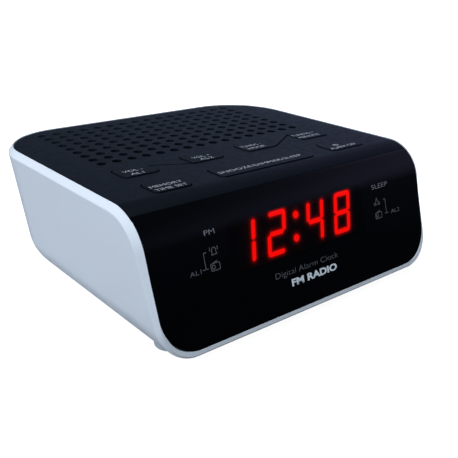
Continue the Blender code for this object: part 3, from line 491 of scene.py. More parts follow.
KEY_INK = ink("key_ink", (0.34, 0.36, 0.40), 0.55, 0.12)
DIGIT_LIGHT = lit_material("lit_segments", 15.5, False)
HALO_LIGHT = lit_material("display_halo", 6.5, True)


# --- mesh tools

CUTTERS = []


def placed(name, data):
    """A new object in the scene."""
    made = bpy.data.objects.new(name, data)
    bpy.context.scene.collection.objects.link(made)
    return made


def object_from(bm, name, material=None, smooth=True):
    """An object made from a bmesh: a piece with a material, or a cutter without one."""
    bmesh.ops.recalc_face_normals(bm, faces=bm.faces)
    mesh = bpy.data.meshes.new(name)
    bm.to_mesh(mesh)
    bm.free()
    made = placed(name, mesh)
    if material:
        mesh.materials.append(material)
        if smooth:
            soften(made)
    else:
        made.hide_render = True
        CUTTERS.append(made)
    return made


def soften(obj, angle=30.0):
    """Smooth shading with sharp edges kept and large faces left flat."""
    obj.data.shade_smooth()
    obj.data.set_sharp_from_angle(angle=math.radians(angle))


def boolean(obj, cutter, operation="DIFFERENCE"):
    """Cuts, joins or intersects a piece with a helper."""
    made = obj.modifiers.new(cutter.name, "BOOLEAN")
    made.operation = operation
    made.object = cutter
    made.solver = "EXACT"
    made.use_self = True


def lofted(name, rings, material=None, merge=False):
    """An object lofted through rings. Points that meet can be merged."""
    bm = bmesh.new()
    add_loft(bm, rings)
    if merge:
        bmesh.ops.remove_doubles(bm, verts=bm.verts, dist=MERGE)
        bmesh.ops.dissolve_degenerate(bm, edges=bm.edges, dist=MERGE)
    return object_from(bm, name, material)


def settle(obj, replaced, body="radio", angle=30.0):
    """Applies a piece's modifiers, weights its normals, and lets it stand for a CAD node."""
    graph = bpy.context.evaluated_depsgraph_get()
    mesh = bpy.data.meshes.new_from_object(obj.evaluated_get(graph), depsgraph=graph)
    obj.modifiers.clear()
    obj.data = mesh
    for cutter in CUTTERS:
        bpy.data.objects.remove(cutter)
    CUTTERS.clear()
    soften(obj, angle)
    weight = obj.modifiers.new("weight", "WEIGHTED_NORMAL")
    weight.keep_sharp = True
    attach(obj, body)
    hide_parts(replaced)


def spread(low, high, count):
    """Evenly spaced values from low to high."""
    return [low + (high - low) * i / (count - 1) for i in range(count)]


def add_loft(bm, rings):
    """A closed solid through rings that have the same number of points."""
    rows = [[bm.verts.new(point) for point in ring] for ring in rings]
    for low, high in zip(rows, rows[1:]):
        for i, start in enumerate(low):
            j = (i + 1) % len(low)
            bm.faces.new((start, low[j], high[j], high[i]))
    bm.faces.new(rows[0])
    bm.faces.new(rows[-1])


def add_box(bm, low, high):
    """A box between two corners."""
    middle = [(a + b) / 2 for a, b in zip(low, high)]
    size = [b - a for a, b in zip(low, high)]
    matrix = Matrix.Translation(middle) @ Matrix.Diagonal((*size, 1.0))
    bmesh.ops.create_cube(bm, size=1.0, matrix=matrix)


def add_stack(bm, stations, sides, at=(0.0, 0.0), turn=None):
    """A turned solid through (radius, z) stations, from one flat end to the other."""
    turn = turn or Matrix.Translation((*at, 0.0))
    angles = [2 * math.pi * i / sides for i in range(sides)]
    add_loft(bm, [
        [turn @ Vector((r * math.cos(a), r * math.sin(a), z)) for a in angles]
        for r, z in stations
    ])


def at_mm(places):
    """Places given in millimetres, in metres."""
    return [(x * MM, y * MM) for x, y in places]


def rounded_ring(size_x, size_y, corner, z, at=(0.0, 0.0), steps=7):
    """A rectangle with round corners at one height."""
    ring = []
    for quarter in range(4):
        across = (1, -1, -1, 1)[quarter] * (size_x / 2 - corner) + at[0]
        along = (1, 1, -1, -1)[quarter] * (size_y / 2 - corner) + at[1]
        for angle in spread(quarter * math.pi / 2, (quarter + 1) * math.pi / 2, steps):
            ring.append((across + corner * math.cos(angle), along + corner * math.sin(angle), z))
    return ring


def round_over(radius, steps):
    """(drawn in, raised) pairs over a quarter-round edge, from the side up to the top."""
    angles = spread(0.0, math.pi / 2, steps)
    return [(radius * (1 - math.cos(a)), radius * math.sin(a)) for a in angles]


# --- the case's surfaces

BEND_Z = CASE_TOP - FRONT_BEND
FRONT_ZERO_Y = FRONT_Y - CASE_BOTTOM * math.tan(FRONT_LEAN)
BEND_Y = FRONT_ZERO_Y + (FRONT_BEND + BEND_Z * LEAN_SIN) / LEAN_COS
BEND_START_Z = BEND_Z + FRONT_BEND * LEAN_SIN
BEND_START_UP = BEND_START_Z / LEAN_COS


def front_y(z):
    """Where the front surface is at a height."""
    if z <= BEND_START_Z:
        return FRONT_ZERO_Y + z * math.tan(FRONT_LEAN)
    rise = min(z - BEND_Z, FRONT_BEND)
    return BEND_Y - math.sqrt(FRONT_BEND**2 - rise**2)


def bend_point(turn, inset):
    """A point (y, z) of the bend."""
    reach = FRONT_BEND - inset
    return BEND_Y - reach * math.cos(turn), BEND_Z + reach * math.sin(turn)


def on_slant(x, up, depth):
    """The point a distance up the flat stretch of the front, and a depth behind it."""
    return (x, FRONT_ZERO_Y + up * LEAN_SIN + depth * LEAN_COS, up * LEAN_COS - depth * LEAN_SIN)


def on_front(x, up, depth):
    """The point a distance up the front, measured along its surface, and a depth behind it."""
    over = up - BEND_START_UP
    if over > 0:
        return (x, *bend_point(FRONT_LEAN + over / FRONT_BEND, depth))
    return on_slant(x, up, depth)


def tuck(height, radius):
    """How far a rounded bottom edge draws in at a height above the bottom."""
    if height >= radius:
        return 0.0
    return radius - math.sqrt(max(radius**2 - (radius - height) ** 2, 0.0))


def case_half(z):
    """Half the case's width at a height."""
    return CASE_HALF_WIDTH - SIDE_TAPER * (CASE_TOP - z)


def plan_ring(z, inset, front):
    """The outline seen from above: straight sides and round back corners."""
    height = z - CASE_BOTTOM - inset
    side_tuck = tuck(height, BOTTOM_RADIUS - inset)
    back_tuck = tuck(height, max(BACK_BOTTOM_RADIUS - inset, LEAST_INNER_RADIUS))
    half = case_half(z) - inset
    back = BACK_Y - BACK_LEAN * (CASE_TOP - z) - inset
    radius = CORNER_RADIUS - inset
    ring = []
    for side in (-1, 1):
        corner = [(half - side_tuck, front)]
        for angle in spread(0.0, math.pi / 2, CORNER_STEPS + 1):
            across = half - radius + (radius - side_tuck) * math.cos(angle)
            along = back - radius + (radius - back_tuck) * math.sin(angle)
            corner.append((across, along))
        ring += [(side * x, y, z) for x, y in corner[::-side]]
    return ring


def rim_profile(width):
    """The rim's rounded bevel as (in from the side, in from the front or top) pairs."""
    share = width / RIM_BEVEL
    points = []
    slant = Vector((1.0, -1.0)).normalized()
    for corner, start, end, steps in (
        (Vector((width, 0.0)), Vector((RIM_ROUND_IN, 0.0)), -slant * RIM_ROUND_IN, 4),
        (Vector((0.0, width)), slant * RIM_ROUND_OUT, Vector((0.0, RIM_ROUND_OUT)), 7),
    ):
        for t in spread(0.0, 1.0, steps):
            mixed = corner + share * (start * (1 - t) ** 2 + end * t**2)
            points.append((mixed.x, mixed.y - RIM_PROUD))
    return points


def rim_width(z):
    """The width of the rim's bevel, which narrows towards the foot of the front."""
    part = min((z - CASE_BOTTOM) / RIM_RAMP, 1.0)
    return RIM_BEVEL_LOW + (RIM_BEVEL - RIM_BEVEL_LOW) * part


def rim_stations():
    """The left half of the rim at each step from the foot to the top, as rows of points."""
    rows = []
    for angle in spread(0.0, math.pi / 2, 15):
        width = rim_width(CASE_BOTTOM + BOTTOM_RADIUS * (1 - math.cos(angle)))
        row = []
        for u, v in rim_profile(width):
            reach = BOTTOM_RADIUS - u
            z = CASE_BOTTOM + BOTTOM_RADIUS - reach * math.cos(angle)
            half = case_half(z) - BOTTOM_RADIUS + reach * math.sin(angle)
            row.append((-half, front_y(z) + v / LEAN_COS, z))
        rows.append(row)
    for z in spread(CASE_BOTTOM + BOTTOM_RADIUS, BEND_START_Z, 6)[1:-1]:
        profile = rim_profile(rim_width(z))
        rows.append([(u - case_half(z), front_y(z) + v / LEAN_COS, z) for u, v in profile])
    for turn in spread(FRONT_LEAN, math.pi / 2, 22):
        profile = [(u, *bend_point(turn, v)) for u, v in rim_profile(RIM_BEVEL)]
        rows.append([(u - case_half(z), y, z) for u, y, z in profile])
    return rows


def outer_case():
    """The white case before it is hollowed, with its rounded bevel all round the rim."""
    rows = rim_stations()
    profile = rim_profile(RIM_BEVEL)
    last = len(profile) - 1

    def ring(row, sides):
        return [*row, *sides, *[(-x, y, z) for x, y, z in row[::-1]]]

    rings = []
    foot = rows[0]
    sides = plan_ring(CASE_BOTTOM, 0.0, foot[last][1])
    for j in range(last, 0, -1):
        rings.append(ring([foot[j]] * j + foot[j:], sides))
    for row in rows:
        rings.append(ring(row, plan_ring(row[last][2], 0.0, row[last][1])))
    top = rows[-1]
    for j in range(last - 1, -1, -1):
        u, v = profile[j]
        sides = plan_ring(CASE_TOP - v, u, BEND_Y)
        rings.append(ring(top[: j + 1] + [top[j]] * (last - j), sides))
    return lofted("case_shell", rings, MATERIALS["white_case"], merge=True)


def hollow(name, inset):
    """What fills the inside of the case, and stands out through its front and top."""
    floor = CASE_BOTTOM + inset
    radius = BOTTOM_RADIUS - inset
    heights = [floor + radius * (1 - math.cos(a)) for a in spread(0.0, math.pi / 2, 10)]
    heights.append(CASE_TOP + STAND_OUT)
    rings = [plan_ring(z, inset, front_y(z) - STAND_OUT) for z in heights]
    return lofted(name, rings)


def front_sheet(name, outer, inner, grow, edge=0.0, material=None):
    """A sheet over the front and its bend, with round lower corners and soft edges."""
    low = LENS_BOTTOM - grow
    corner = LENS_CORNER + grow
    top_up = BEND_START_UP + (LENS_TOP_TURN + grow / FRONT_BEND - FRONT_LEAN) * FRONT_BEND
    ups = [(low + corner * (1 - math.cos(a))) / LEAN_COS for a in spread(0.0, math.pi / 2, 25)]
    ups += spread(ups[-1], BEND_START_UP, 5)[1:-1]
    ups += spread(BEND_START_UP, top_up, 22)
    levels = [0.0]
    if edge:
        ups += [ups[0] + edge * share for share in EDGE_SHARES]
        ups += [top_up - edge * share for share in EDGE_SHARES]
        levels = [edge * (1 - math.sin(a)) for a in spread(0.0, math.pi / 2, 5)][::-1]
    rings = []
    for up in sorted(set(ups)):
        left = []
        for level in [0.0] + levels:
            d = max(min(level, up - ups[0], top_up - up), 0.0)
            z = on_front(0.0, up, 0.0)[2]
            half = LENS_HALF_WIDTH + grow - d - LENS_TAPER * (CASE_TOP - z)
            half -= tuck(z - low - d, corner - d)
            left.append((half, outer + tuck(d, edge)))
        left[0] = (left[1][0], inner)
        ring = [on_front(-half, up, depth) for half, depth in left]
        ring += [on_front(half, up, depth) for half, depth in left[::-1]]
        rings.append(ring)
    return lofted(name, rings, material, merge=True)


# --- shells


def case_shell():
    """The white tub with its tubes, battery compartment, vents and back bores."""
    case = outer_case()
    boolean(case, hollow("case_hollow", WALL))
    bm = bmesh.new()
    for at in at_mm(SCREW_PLACES):
        add_stack(bm, ((TUBE_RADIUS, TUBE_FOOT), (TUBE_RADIUS, TUBE_TOP)), 32, at)
    (left, right), (front, back), wall = CHAMBER_X, CHAMBER_Y, CHAMBER_WALL
    add_box(bm, (left - wall, front - wall, TUBE_FOOT),
            (right + wall, back + wall, CHAMBER_TOP + wall))
    boolean(case, object_from(bm, "case_additions"), "UNION")

    bm = bmesh.new()
    well = (
        (WELL_RADIUS + WELL_LIP + PAST, CASE_BOTTOM - PAST), (WELL_RADIUS, CASE_BOTTOM + WELL_LIP),
        (WELL_RADIUS, WELL_TOP), (TUBE_BORE, WELL_TOP), (TUBE_BORE, TUBE_TOP + PAST),
    )
    for at in at_mm(SCREW_PLACES):
        add_stack(bm, well, 32, at)
    radius = FOOT_RADIUS + GAP
    for at in at_mm(FOOT_PLACES):
        add_stack(bm, ((radius, 0.0), (radius, CASE_BOTTOM + FOOT_RECESS)), 40, at)
    scoop = [(FINGER_RADIUS + PAST, CASE_BOTTOM - PAST), (FINGER_RADIUS, CASE_BOTTOM + 0.1 * MM)]
    scoop += [
        (FINGER_RADIUS - drawn, CASE_BOTTOM + FINGER_DEPTH - FINGER_ROUND + raised)
        for drawn, raised in round_over(FINGER_ROUND, 5)
    ]
    add_stack(bm, scoop, 40, (right, (front + back) / 2))
    wide, long = 2 * VENT_HALF_WIDTH, VENT_Y[1] - VENT_Y[0]
    slot = ((PAST, CASE_BOTTOM - PAST / 2), (0.0, CASE_BOTTOM + VENT_LIP), (0.0, VENT_TOP))
    for i in range(VENT_COUNT):
        at = (VENT_MIDDLE_X + (i - (VENT_COUNT - 1) / 2) * VENT_PITCH, sum(VENT_Y) / 2)
        add_loft(bm, [
            rounded_ring(wide + grow, long + grow, VENT_CORNER + grow / 2, z, at, 6)
            for grow, z in slot
        ])
    boolean(case, object_from(bm, "case_bores"))

    bm = bmesh.new()
    add_box(bm, (left, front, 0.0), (right, back, CHAMBER_TOP))
    for y in LUG_PLACES:
        half = LUG_WIDTH / 2 + GAP
        add_box(bm, (left - LUG_REACH - GAP, y - half, CASE_BOTTOM + WALL),
                (left + PAST, y + half, LUG_ROOM_TOP))
    boolean(case, object_from(bm, "case_chamber"))

    bm = bmesh.new()
    for (x, z), fitting in ((GLAND_PLACE, GLAND_RADIUS), (AERIAL_PLACE, AERIAL_RADIUS)):
        turn = Matrix.Translation((x, BACK_Y, z)) @ Matrix.Rotation(math.pi / 2, 4, "X")
        add_stack(bm, ((fitting + GAP, -BORE), (fitting + GAP, BORE)), 40, turn=turn)
    boolean(case, object_from(bm, "case_back_bores"))
    boolean(case, front_sheet("lens_recess", -STAND_OUT, LENS_THICKNESS + GAP, GAP))
    settle(case, "lower_case")


def cover_outline():
    """The top cover's section from the side: lip, top, underside and the panel."""
    recess = LENS_THICKNESS + GAP
    inner = recess + PANEL_THICKNESS
    back = BACK_Y + STAND_OUT

    def bend(start, end, inset, steps):
        return [bend_point(turn, inset) for turn in spread(start, end, steps)]

    lip, turn = COVER_LIP, COVER_EDGE_TURN
    outline = [bend_point(turn, lip), bend_point(turn + 0.005, lip * 0.3)]
    outline += bend(turn + lip / FRONT_BEND, math.pi / 2, 0.0, 14)
    outline += [(back, CASE_TOP), (back, CASE_TOP - WALL)]
    outline += bend(math.pi / 2, COVER_STEP_TURN, WALL, 8)
    outline += bend(COVER_STEP_TURN, FRONT_LEAN, inner, 10)
    foot_up = CASE_BOTTOM / LEAN_COS
    outline += [on_slant(0.0, foot_up, depth)[1:] for depth in (inner, recess)]
    return outline + bend(FRONT_LEAN, turn, recess, 10)


def key_plan(left, right, front, back):
    """A key's middle, width and depth, from its edges in millimetres."""
    at = ((left + right) / 2 * MM, (front + back) / 2 * MM)
    return at, (right - left) * MM, (back - front) * MM


def cover_shell():
    """The matte black cover with its key windows, grooves, grille and display window."""
    half = CASE_HALF_WIDTH + STAND_OUT
    rings = [[(x, y, z) for y, z in cover_outline()] for x in (-half, half)]
    cover = lofted("cover_shell", rings, MATERIALS["matte_black"])
    boolean(cover, hollow("cover_limits", WALL + GAP), "INTERSECT")

    def lipped(lip):
        """(widened, height) pairs for an opening through the top with a small lip."""
        return (
            (0.0, CASE_TOP - STAND_OUT), (0.0, CASE_TOP - lip), (lip * 0.3, CASE_TOP - lip * 0.3),
            (lip, CASE_TOP), (lip, CASE_TOP + PAST),
        )

    bm = bmesh.new()
    for _, *edges in KEYS:
        at, wide, deep = key_plan(*edges)
        rings = []
        for lip, z in lipped(KEY_LIP):
            grow = KEY_CLEARANCE + lip
            rings.append(rounded_ring(wide + 2 * grow, deep + 2 * grow, KEY_CORNER + grow, z, at))
        add_loft(bm, rings)
    hole = [(GRILLE_HOLE / 2 + lip, z) for lip, z in lipped(GRILLE_LIP)]
    for column in range(GRILLE_COLUMNS):
        for row in range(GRILLE_ROWS):
            x = GRILLE_MIDDLE[0] + (column - (GRILLE_COLUMNS - 1) / 2) * GRILLE_PITCH_X
            y = GRILLE_MIDDLE[1] + (row - (GRILLE_ROWS - 1) / 2) * GRILLE_PITCH_Y
            add_stack(bm, hole, 20, (x, y))
    for groove in GROOVES:
        a, b = (Vector((*place, CASE_TOP)) for place in at_mm(groove))
        along = (b - a).to_track_quat("X", "Z").to_matrix().to_4x4()
        turn = Matrix.Translation((a + b) / 2) @ along
        reach = (b - a).length / 2
        add_loft(bm, [
            [turn @ Vector((x, y, z)) for y, z in at_mm(GROOVE_SECTION)] for x in (-reach, reach)
        ])
    (left, right), (low, high) = WINDOW_X, WINDOW_UP
    corners = ((left, low), (right, low), (right, high), (left, high))
    add_loft(bm, [
        [on_slant(*corner, depth) for corner in corners]
        for depth in (LENS_THICKNESS - PAST, LENS_THICKNESS + GAP + PANEL_THICKNESS + PAST)
    ])
    boolean(cover, object_from(bm, "cover_openings"))
    settle(cover, "top_cover")


def lens():
    """The lens over the slanted front and most of the bend."""
    made = front_sheet(
        "front_lens", 0.0, LENS_THICKNESS, GAP - SEAM, LENS_EDGE, MATERIALS["gloss_black"]
    )
    settle(made, "display_lens", angle=40.0)


def key_cap(name, *edges):
    """A key with a rounded top edge."""
    at, wide, deep = key_plan(*edges)
    top = CASE_TOP + KEY_RISE - PRINT
    stem = (KEY_STEM, KEY_STEM, KEY_STEM_CORNER)
    flange = (wide + 2 * KEY_FLANGE, deep + 2 * KEY_FLANGE, KEY_CORNER)
    sections = [
        (*stem, KEY_STEM_FOOT), (*stem, KEY_FLANGE_BOTTOM), (*flange, KEY_FLANGE_BOTTOM),
        (*flange, KEY_FLANGE_TOP), (wide, deep, KEY_CORNER, KEY_FLANGE_TOP),
    ]
    sections += [
        (wide - 2 * drawn, deep - 2 * drawn, KEY_CORNER - drawn, top - KEY_ROUND + raised)
        for drawn, raised in round_over(KEY_ROUND, 6)
    ]
    rings = [rounded_ring(*section, at) for section in sections]
    cap = lofted("cap_" + name, rings, MATERIALS["matte_black"])
    settle(cap, "key_" + name, name + "_key")


def battery_door():
    """The battery door with its lugs and the grooved tongue of its latch."""
    left, right = CHAMBER_X[0] + GAP, CHAMBER_X[1] - GAP
    front, back = CHAMBER_Y[0] + GAP, CHAMBER_Y[1] - GAP
    middle = (front + back) / 2
    foot = CASE_BOTTOM
    wide, deep = right - left, back - front
    sections = [
        (wide - 2 * drawn, deep - 2 * drawn, DOOR_CORNER - drawn, foot + DOOR_ROUND - raised)
        for drawn, raised in round_over(DOOR_ROUND, 5)[::-1]
    ]
    sections.append((wide, deep, DOOR_CORNER, foot + DOOR_THICKNESS))
    rings = [rounded_ring(*section, ((left + right) / 2, middle)) for section in sections]
    door = lofted("door_shell", rings, MATERIALS["white_case"])
    bm = bmesh.new()
    lug_foot = CASE_BOTTOM + WALL + GAP
    for y in LUG_PLACES:
        near, far = y - LUG_WIDTH / 2, y + LUG_WIDTH / 2
        high = (left + LUG_HEIGHT, far, lug_foot + LUG_HEIGHT)
        add_box(bm, (left - LUG_REACH, near, lug_foot), high)
        add_box(bm, (left + GAP, near + GAP, foot + DOOR_THICKNESS / 2),
                (left + LUG_HEIGHT - GAP, far - GAP, lug_foot + LUG_HEIGHT / 2))
    boolean(door, object_from(bm, "door_shell_lugs"), "UNION")
    bm = bmesh.new()
    for side in (-1, 1):
        y = middle + side * LATCH_SPREAD
        low = (right - LATCH_LENGTH, y - LATCH_SLIT / 2, foot - PAST)
        add_box(bm, low, (right + PAST, y + LATCH_SLIT / 2, foot + DOOR_THICKNESS + PAST))
    for i in range(GRIP_COUNT):
        at = (right - (i + 1) * GRIP_PITCH + GRIP_WIDTH / 2, middle)
        add_loft(bm, [
            rounded_ring(GRIP_WIDTH + grow, 2 * GRIP_HALF_LENGTH + grow, GRIP_CORNER, z, at, 4)
            for grow, z in ((GRIP_CORNER, foot - 0.05 * MM), (0.0, foot + GRIP_DEPTH))
        ])
    boolean(door, object_from(bm, "door_shell_cuts"))
    settle(door, "battery_door", "battery_door")


def feet():
    """Rubber feet with a soft lower edge and a shallow dish underneath."""
    corners = ("front_left", "front_right", "back_left", "back_right")
    top = CASE_BOTTOM + FOOT_RECESS - GAP
    stations = [(FOOT_RADIUS - FOOT_EDGE, top), (FOOT_RADIUS, top - FOOT_EDGE)]
    stations += [(FOOT_RADIUS - a, FOOT_ROUND - b) for a, b in round_over(FOOT_ROUND, 7)]
    stations += FOOT_DISH
    for corner, at in zip(corners, at_mm(FOOT_PLACES)):
        bm = bmesh.new()
        add_stack(bm, stations, 48, at)
        made = object_from(bm, "pad_" + corner, MATERIALS["foot_rubber"])
        settle(made, "foot_" + corner, angle=40.0)


# --- printing and light


def flat_piece(name, material, shapes, put, body="radio"):
    """A thin printed or lit piece. Shapes are rings of (x, up); put places (x, up, lift)."""
    bm = bmesh.new()
    for ring in shapes:
        add_loft(bm, [[put(x, up, lift) for x, up in ring] for lift in (0.0, PRINT)])
    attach(object_from(bm, name, material), body)


def stroke(points, width, closed=False):
    """Quads along a polyline, mitred at its corners."""
    points = [Vector(point) for point in points]
    before, after = points[-1], points[0]
    if not closed:
        before, after = 2 * points[0] - points[1], 2 * points[-1] - points[-2]
    around = [before, *points, after]
    sides = []
    for before, here, after in zip(around, around[1:], around[2:]):
        coming = (here - before).normalized()
        along = (coming + (after - here).normalized()).normalized()
        reach = width / 2 / max(along.dot(coming), LEAST_MITRE)
        across = Vector((-along.y, along.x)) * reach
        sides.append((tuple(here + across), tuple(here - across)))
    if closed:
        sides.append(sides[0])
    return [[a, c, d, b] for (a, b), (c, d) in zip(sides, sides[1:])]


def arc(middle, radius, start, end, steps):
    """Points along an arc, with angles in degrees."""
    turns = [math.radians(a) for a in spread(start, end, steps)]
    return [(middle[0] + radius * math.cos(t), middle[1] + radius * math.sin(t)) for t in turns]


def lettering(name, text, middle, size, put, material, bold, body="radio"):
    """Letters fitted to a size about a middle, both in millimetres, and laid on a surface."""
    curve = bpy.data.curves.new(name, "FONT")
    curve.body = text
    curve.align_x = "CENTER"
    curve.offset = bold
    curve.resolution_u = 4
    flat = placed(name + "_flat", curve)
    graph = bpy.context.evaluated_depsgraph_get()
    mesh = bpy.data.meshes.new_from_object(flat.evaluated_get(graph), depsgraph=graph)
    bpy.data.objects.remove(flat)
    bpy.data.curves.remove(curve)
    bm = bmesh.new()
    bm.from_mesh(mesh)
    bpy.data.meshes.remove(mesh)
    places = []
    for axis in (0, 1):
        values = [vert.co[axis] for vert in bm.verts]
        scale = size[axis] * MM / (max(values) - min(values))
        centre = (max(values) + min(values)) / 2
        places.append([middle[axis] * MM + (value - centre) * scale for value in values])
    for vert, x, up in zip(bm.verts, *places):
        vert.co = put(x, up, PRINT)
    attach(object_from(bm, name, material, smooth=False), body)


def on_lens(x, up, lift):
    """Puts a point on the lens."""
    return on_front(x, up, -lift)


def digit_shapes(middle, segments):
    """The lit segments of one digit as rings of (x, up)."""
    reach = (DIGIT_WIDTH - STROKE) / 2
    half = (DIGIT_HEIGHT - STROKE) / 2
    wide = STROKE / 2 - SOFT_EDGE
    disc = [Vector(place) for place in arc((0.0, 0.0), JOINT_DISC * wide, 0, 345, 24)]
    shapes = []
    corners = []
    for segment in segments:
        a, b = (Vector((x * reach, y * half)) for x, y in SEGMENTS[segment])
        along = (b - a).normalized()
        across = Vector((-along.y, along.x))
        ring = []
        for side, end in ((1, b), (-1, a)):
            back = STROKE / 2 - SEGMENT_REACH
            if end.y == 0.0:
                back = SEGMENT_GAP + SOFT_EDGE + 0.75 * wide
            for t in spread(-90.0, 90.0, 9):
                turn = math.radians(t)
                sine = math.sin(turn)
                blunt = POINTED * (1 - abs(sine)) + (1 - POINTED) * math.cos(turn)
                ring.append(end + side * (along * (wide * blunt - back) + across * wide * sine))
            if end.y != 0.0 and end in corners:
                shapes.append([end + place for place in disc])
            corners.append(end)
        shapes.append(ring)
    return [
        [(middle * MM + p.x + p.y * DIGIT_SLANT, DIGIT_UP + p.y) for p in ring] for ring in shapes
    ]


def distance_to(shapes, x, up):
    """The least distance from a place to the edges of the shapes of the digits around it."""
    best = 1.0
    for ring in shapes:
        if abs(ring[0][0] - x) > 2 * DIGIT_WIDTH:
            continue
        for (ax, ay), (bx, by) in zip(ring, ring[1:] + ring[:1]):
            dx, dy = bx - ax, by - ay
            t = ((x - ax) * dx + (up - ay) * dy) / (dx * dx + dy * dy)
            t = max(0.0, min(1.0, t))
            best = min(best, math.hypot(x - ax - t * dx, up - ay - t * dy))
    return best


def display():
    """The lit digits and colon, and the glow around them on the module's face."""

    def on_module(x, up, lift):
        return on_slant(x, up, DIGIT_DEPTH - PRINT - lift)

    shapes = []
    for place, (middle, segments) in enumerate(DIGITS, 1):
        rings = digit_shapes(middle, segments)
        shapes += rings
        flat_piece(f"digit_{place}", DIGIT_LIGHT, rings, on_module)
    dots = [arc(place, COLON_RADIUS - SOFT_EDGE, 0, 345, 24) for place in at_mm(COLON)]
    shapes += dots
    flat_piece("digit_colon", DIGIT_LIGHT, dots, on_module)

    low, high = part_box("display_module")
    middle_up = sum(WINDOW_UP) / 2
    bm = bmesh.new()
    glow = []
    grid = []
    for up in spread(middle_up - HALO_HALF_HEIGHT, middle_up + HALO_HALF_HEIGHT, HALO_ROWS):
        grid.append([])
        for x in spread(low.x + HALO_MARGIN, high.x - HALO_MARGIN, HALO_COLUMNS):
            grid[-1].append(bm.verts.new(on_module(x, up, HALO_LIFT)))
            away = distance_to(shapes, x, up)
            near, far = (math.exp(-away / reach) for reach in HALO_REACHES)
            glow.append((1 - HALO_FAR_SHARE) * near + HALO_FAR_SHARE * far)
    for below, above in zip(grid, grid[1:]):
        for i in range(HALO_COLUMNS - 1):
            bm.faces.new((below[i], below[i + 1], above[i + 1], above[i]))
    halo = object_from(bm, "display_halo", HALO_LIGHT)
    level = halo.data.attributes.new("glow", "FLOAT", "POINT")
    level.data.foreach_set("value", glow)
    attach(halo, "radio")


def lens_labels():
    """The printed words and signs either side of the digits, and the lines below them."""
    for name, text, middle, size, material, bold in (
        ("label_pm", "PM", (-40.5, 38.4), (4.0, 1.6), INK, -0.008),
        ("label_alarm_1", "AL1", (-48.0, 27.3), (4.3, 1.5), FAINT_INK, -0.008),
        ("label_sleep", "SLEEP", (40.8, 37.2), (9.2, 1.7), INK, -0.008),
        ("label_alarm_2", "AL2", (48.2, 26.1), (5.2, 1.5), FAINT_INK, -0.008),
        ("label_kind", "Digital Alarm Clock", (-1.8, 17.1), (30.5, 2.6), FAINT_INK, -0.016),
        ("label_band", "FM RADIO", (0.9, 13.4), (22.5, 2.6), BOLD_INK, 0.04),
    ):
        lettering(name, text, middle, size, on_lens, material, bold)
    half_dome = [(-1.05, -1.05), (-0.8, -0.6), (-0.7, 0.5)]
    dome = half_dome + arc((0.0, 0.5), 0.7, 160, 20, 8) + [(-x, y) for x, y in half_dome[::-1]]
    buzzer = [(-1.1, -1.0), (0.0, 1.35), (1.1, -1.0)]
    for side, out, bell, mark_up, (bell_x, bell_up), (radio_x, radio_up), bracket in (
        ("left", -1, dome, 0.75, (-40.0, 32.3), (-40.3, 27.4), -44.0),
        ("right", 1, buzzer, -0.75, (38.2, 31.4), (38.4, 26.2), 43.0),
    ):
        loops = [
            [(bell_x + x, bell_up + y) for x, y in bell],
            [(x, y) for x, y, _ in rounded_ring(3.5, 2.3, 0.4, 0.0, (radio_x, radio_up), 4)],
            arc((radio_x - 0.75, radio_up), 0.62, 0, 345, 14),
        ]
        top, near = bell_up + 0.2, bracket - out
        lines = [
            [(radio_x - 1.0, radio_up + 1.15), (radio_x + 0.9, radio_up + 1.8)],
            [(near, top), (bracket, top), (bracket, radio_up), (near, radio_up)],
            [(bracket, radio_up), (bracket + 1.2 * out, radio_up)],
        ]
        for sign in (-1, 1):
            marks = ((1.4, 0.6), (1.6, 0.0), (1.4, -0.6))
            lines.append([(bell_x + sign * x, bell_up + mark_up + y) for x, y in marks])
        shapes = []
        for line in loops + lines:
            shapes += stroke(at_mm(line), SIGN_LINE, closed=line in loops)
        flat_piece("signs_" + side, FAINT_INK, shapes, on_lens)


def key_labels():
    """Short printed words on the keys, by the middle and the width of each in millimetres."""
    top = CASE_TOP + KEY_RISE - PRINT
    words = {
        "time_set": (("MEMORY", -42.5, -30.2, 12.4), ("TIME SET", -42.6, -33.5, 12.1)),
        "snooze": (("SNOOZE/DIMMER/SLEEP", -2.3, -31.3, 39.0),),
        "power": (("ALARM OFF", 39.4, -32.6, 14.2),),
        "volume_down": (("VOL -", -43.3, -11.3, 7.7), ("AL1", -43.6, -14.8, 5.1)),
        "volume_up": (("VOL +", -14.2, -11.3, 7.8), ("AL2", -14.0, -14.3, 5.8)),
        "tune_down": (("TUNING -", 10.6, -10.4, 9.8), ("HOUR", 11.1, -13.7, 8.6)),
        "tune_up": (("TUNING +", 40.2, -9.6, 12.6), ("MINUTE", 40.3, -13.2, 11.6)),
    }

    def on_key(x, up, lift):
        return (x, up, top + lift)

    for name, rows in words.items():
        for line, (text, x, y, width) in enumerate(rows, 1):
            lettering(f"label_{name}_{line}", text, (x, y), (width, KEY_LETTER), on_key,
                      KEY_INK, -0.006, name + "_key")
    x, y = POWER_SIGN
    shapes = []
    for line in (arc(POWER_SIGN, 1.0, 125, 415, 24), [(x, y), (x, y + 1.2)]):
        shapes += stroke(at_mm(line), POWER_LINE)
    flat_piece("sign_power", KEY_INK, shapes, on_key, "power_key")


# --- build

case_shell()
cover_shell()
lens()
for entry in KEYS:
    key_cap(*entry)
feet()
battery_door()
display()
lens_labels()
key_labels()

for part in frame["record"]["subparts"]:
    slots = frame["nodes"][part["node"]].data.materials
    material = MATERIALS[part["material_slot"]]
    if not slots:
        slots.append(material)
    for index in range(len(slots)):
        slots[index] = material


# --- studio and camera


def ray_split(tree, ray, usual, chosen):
    """One shader for a kind of ray, and the usual one for the others."""
    kind = node(tree, "LightPath").outputs[ray]
    return node(tree, "MixShader", {0: kind, 1: usual, 2: chosen})


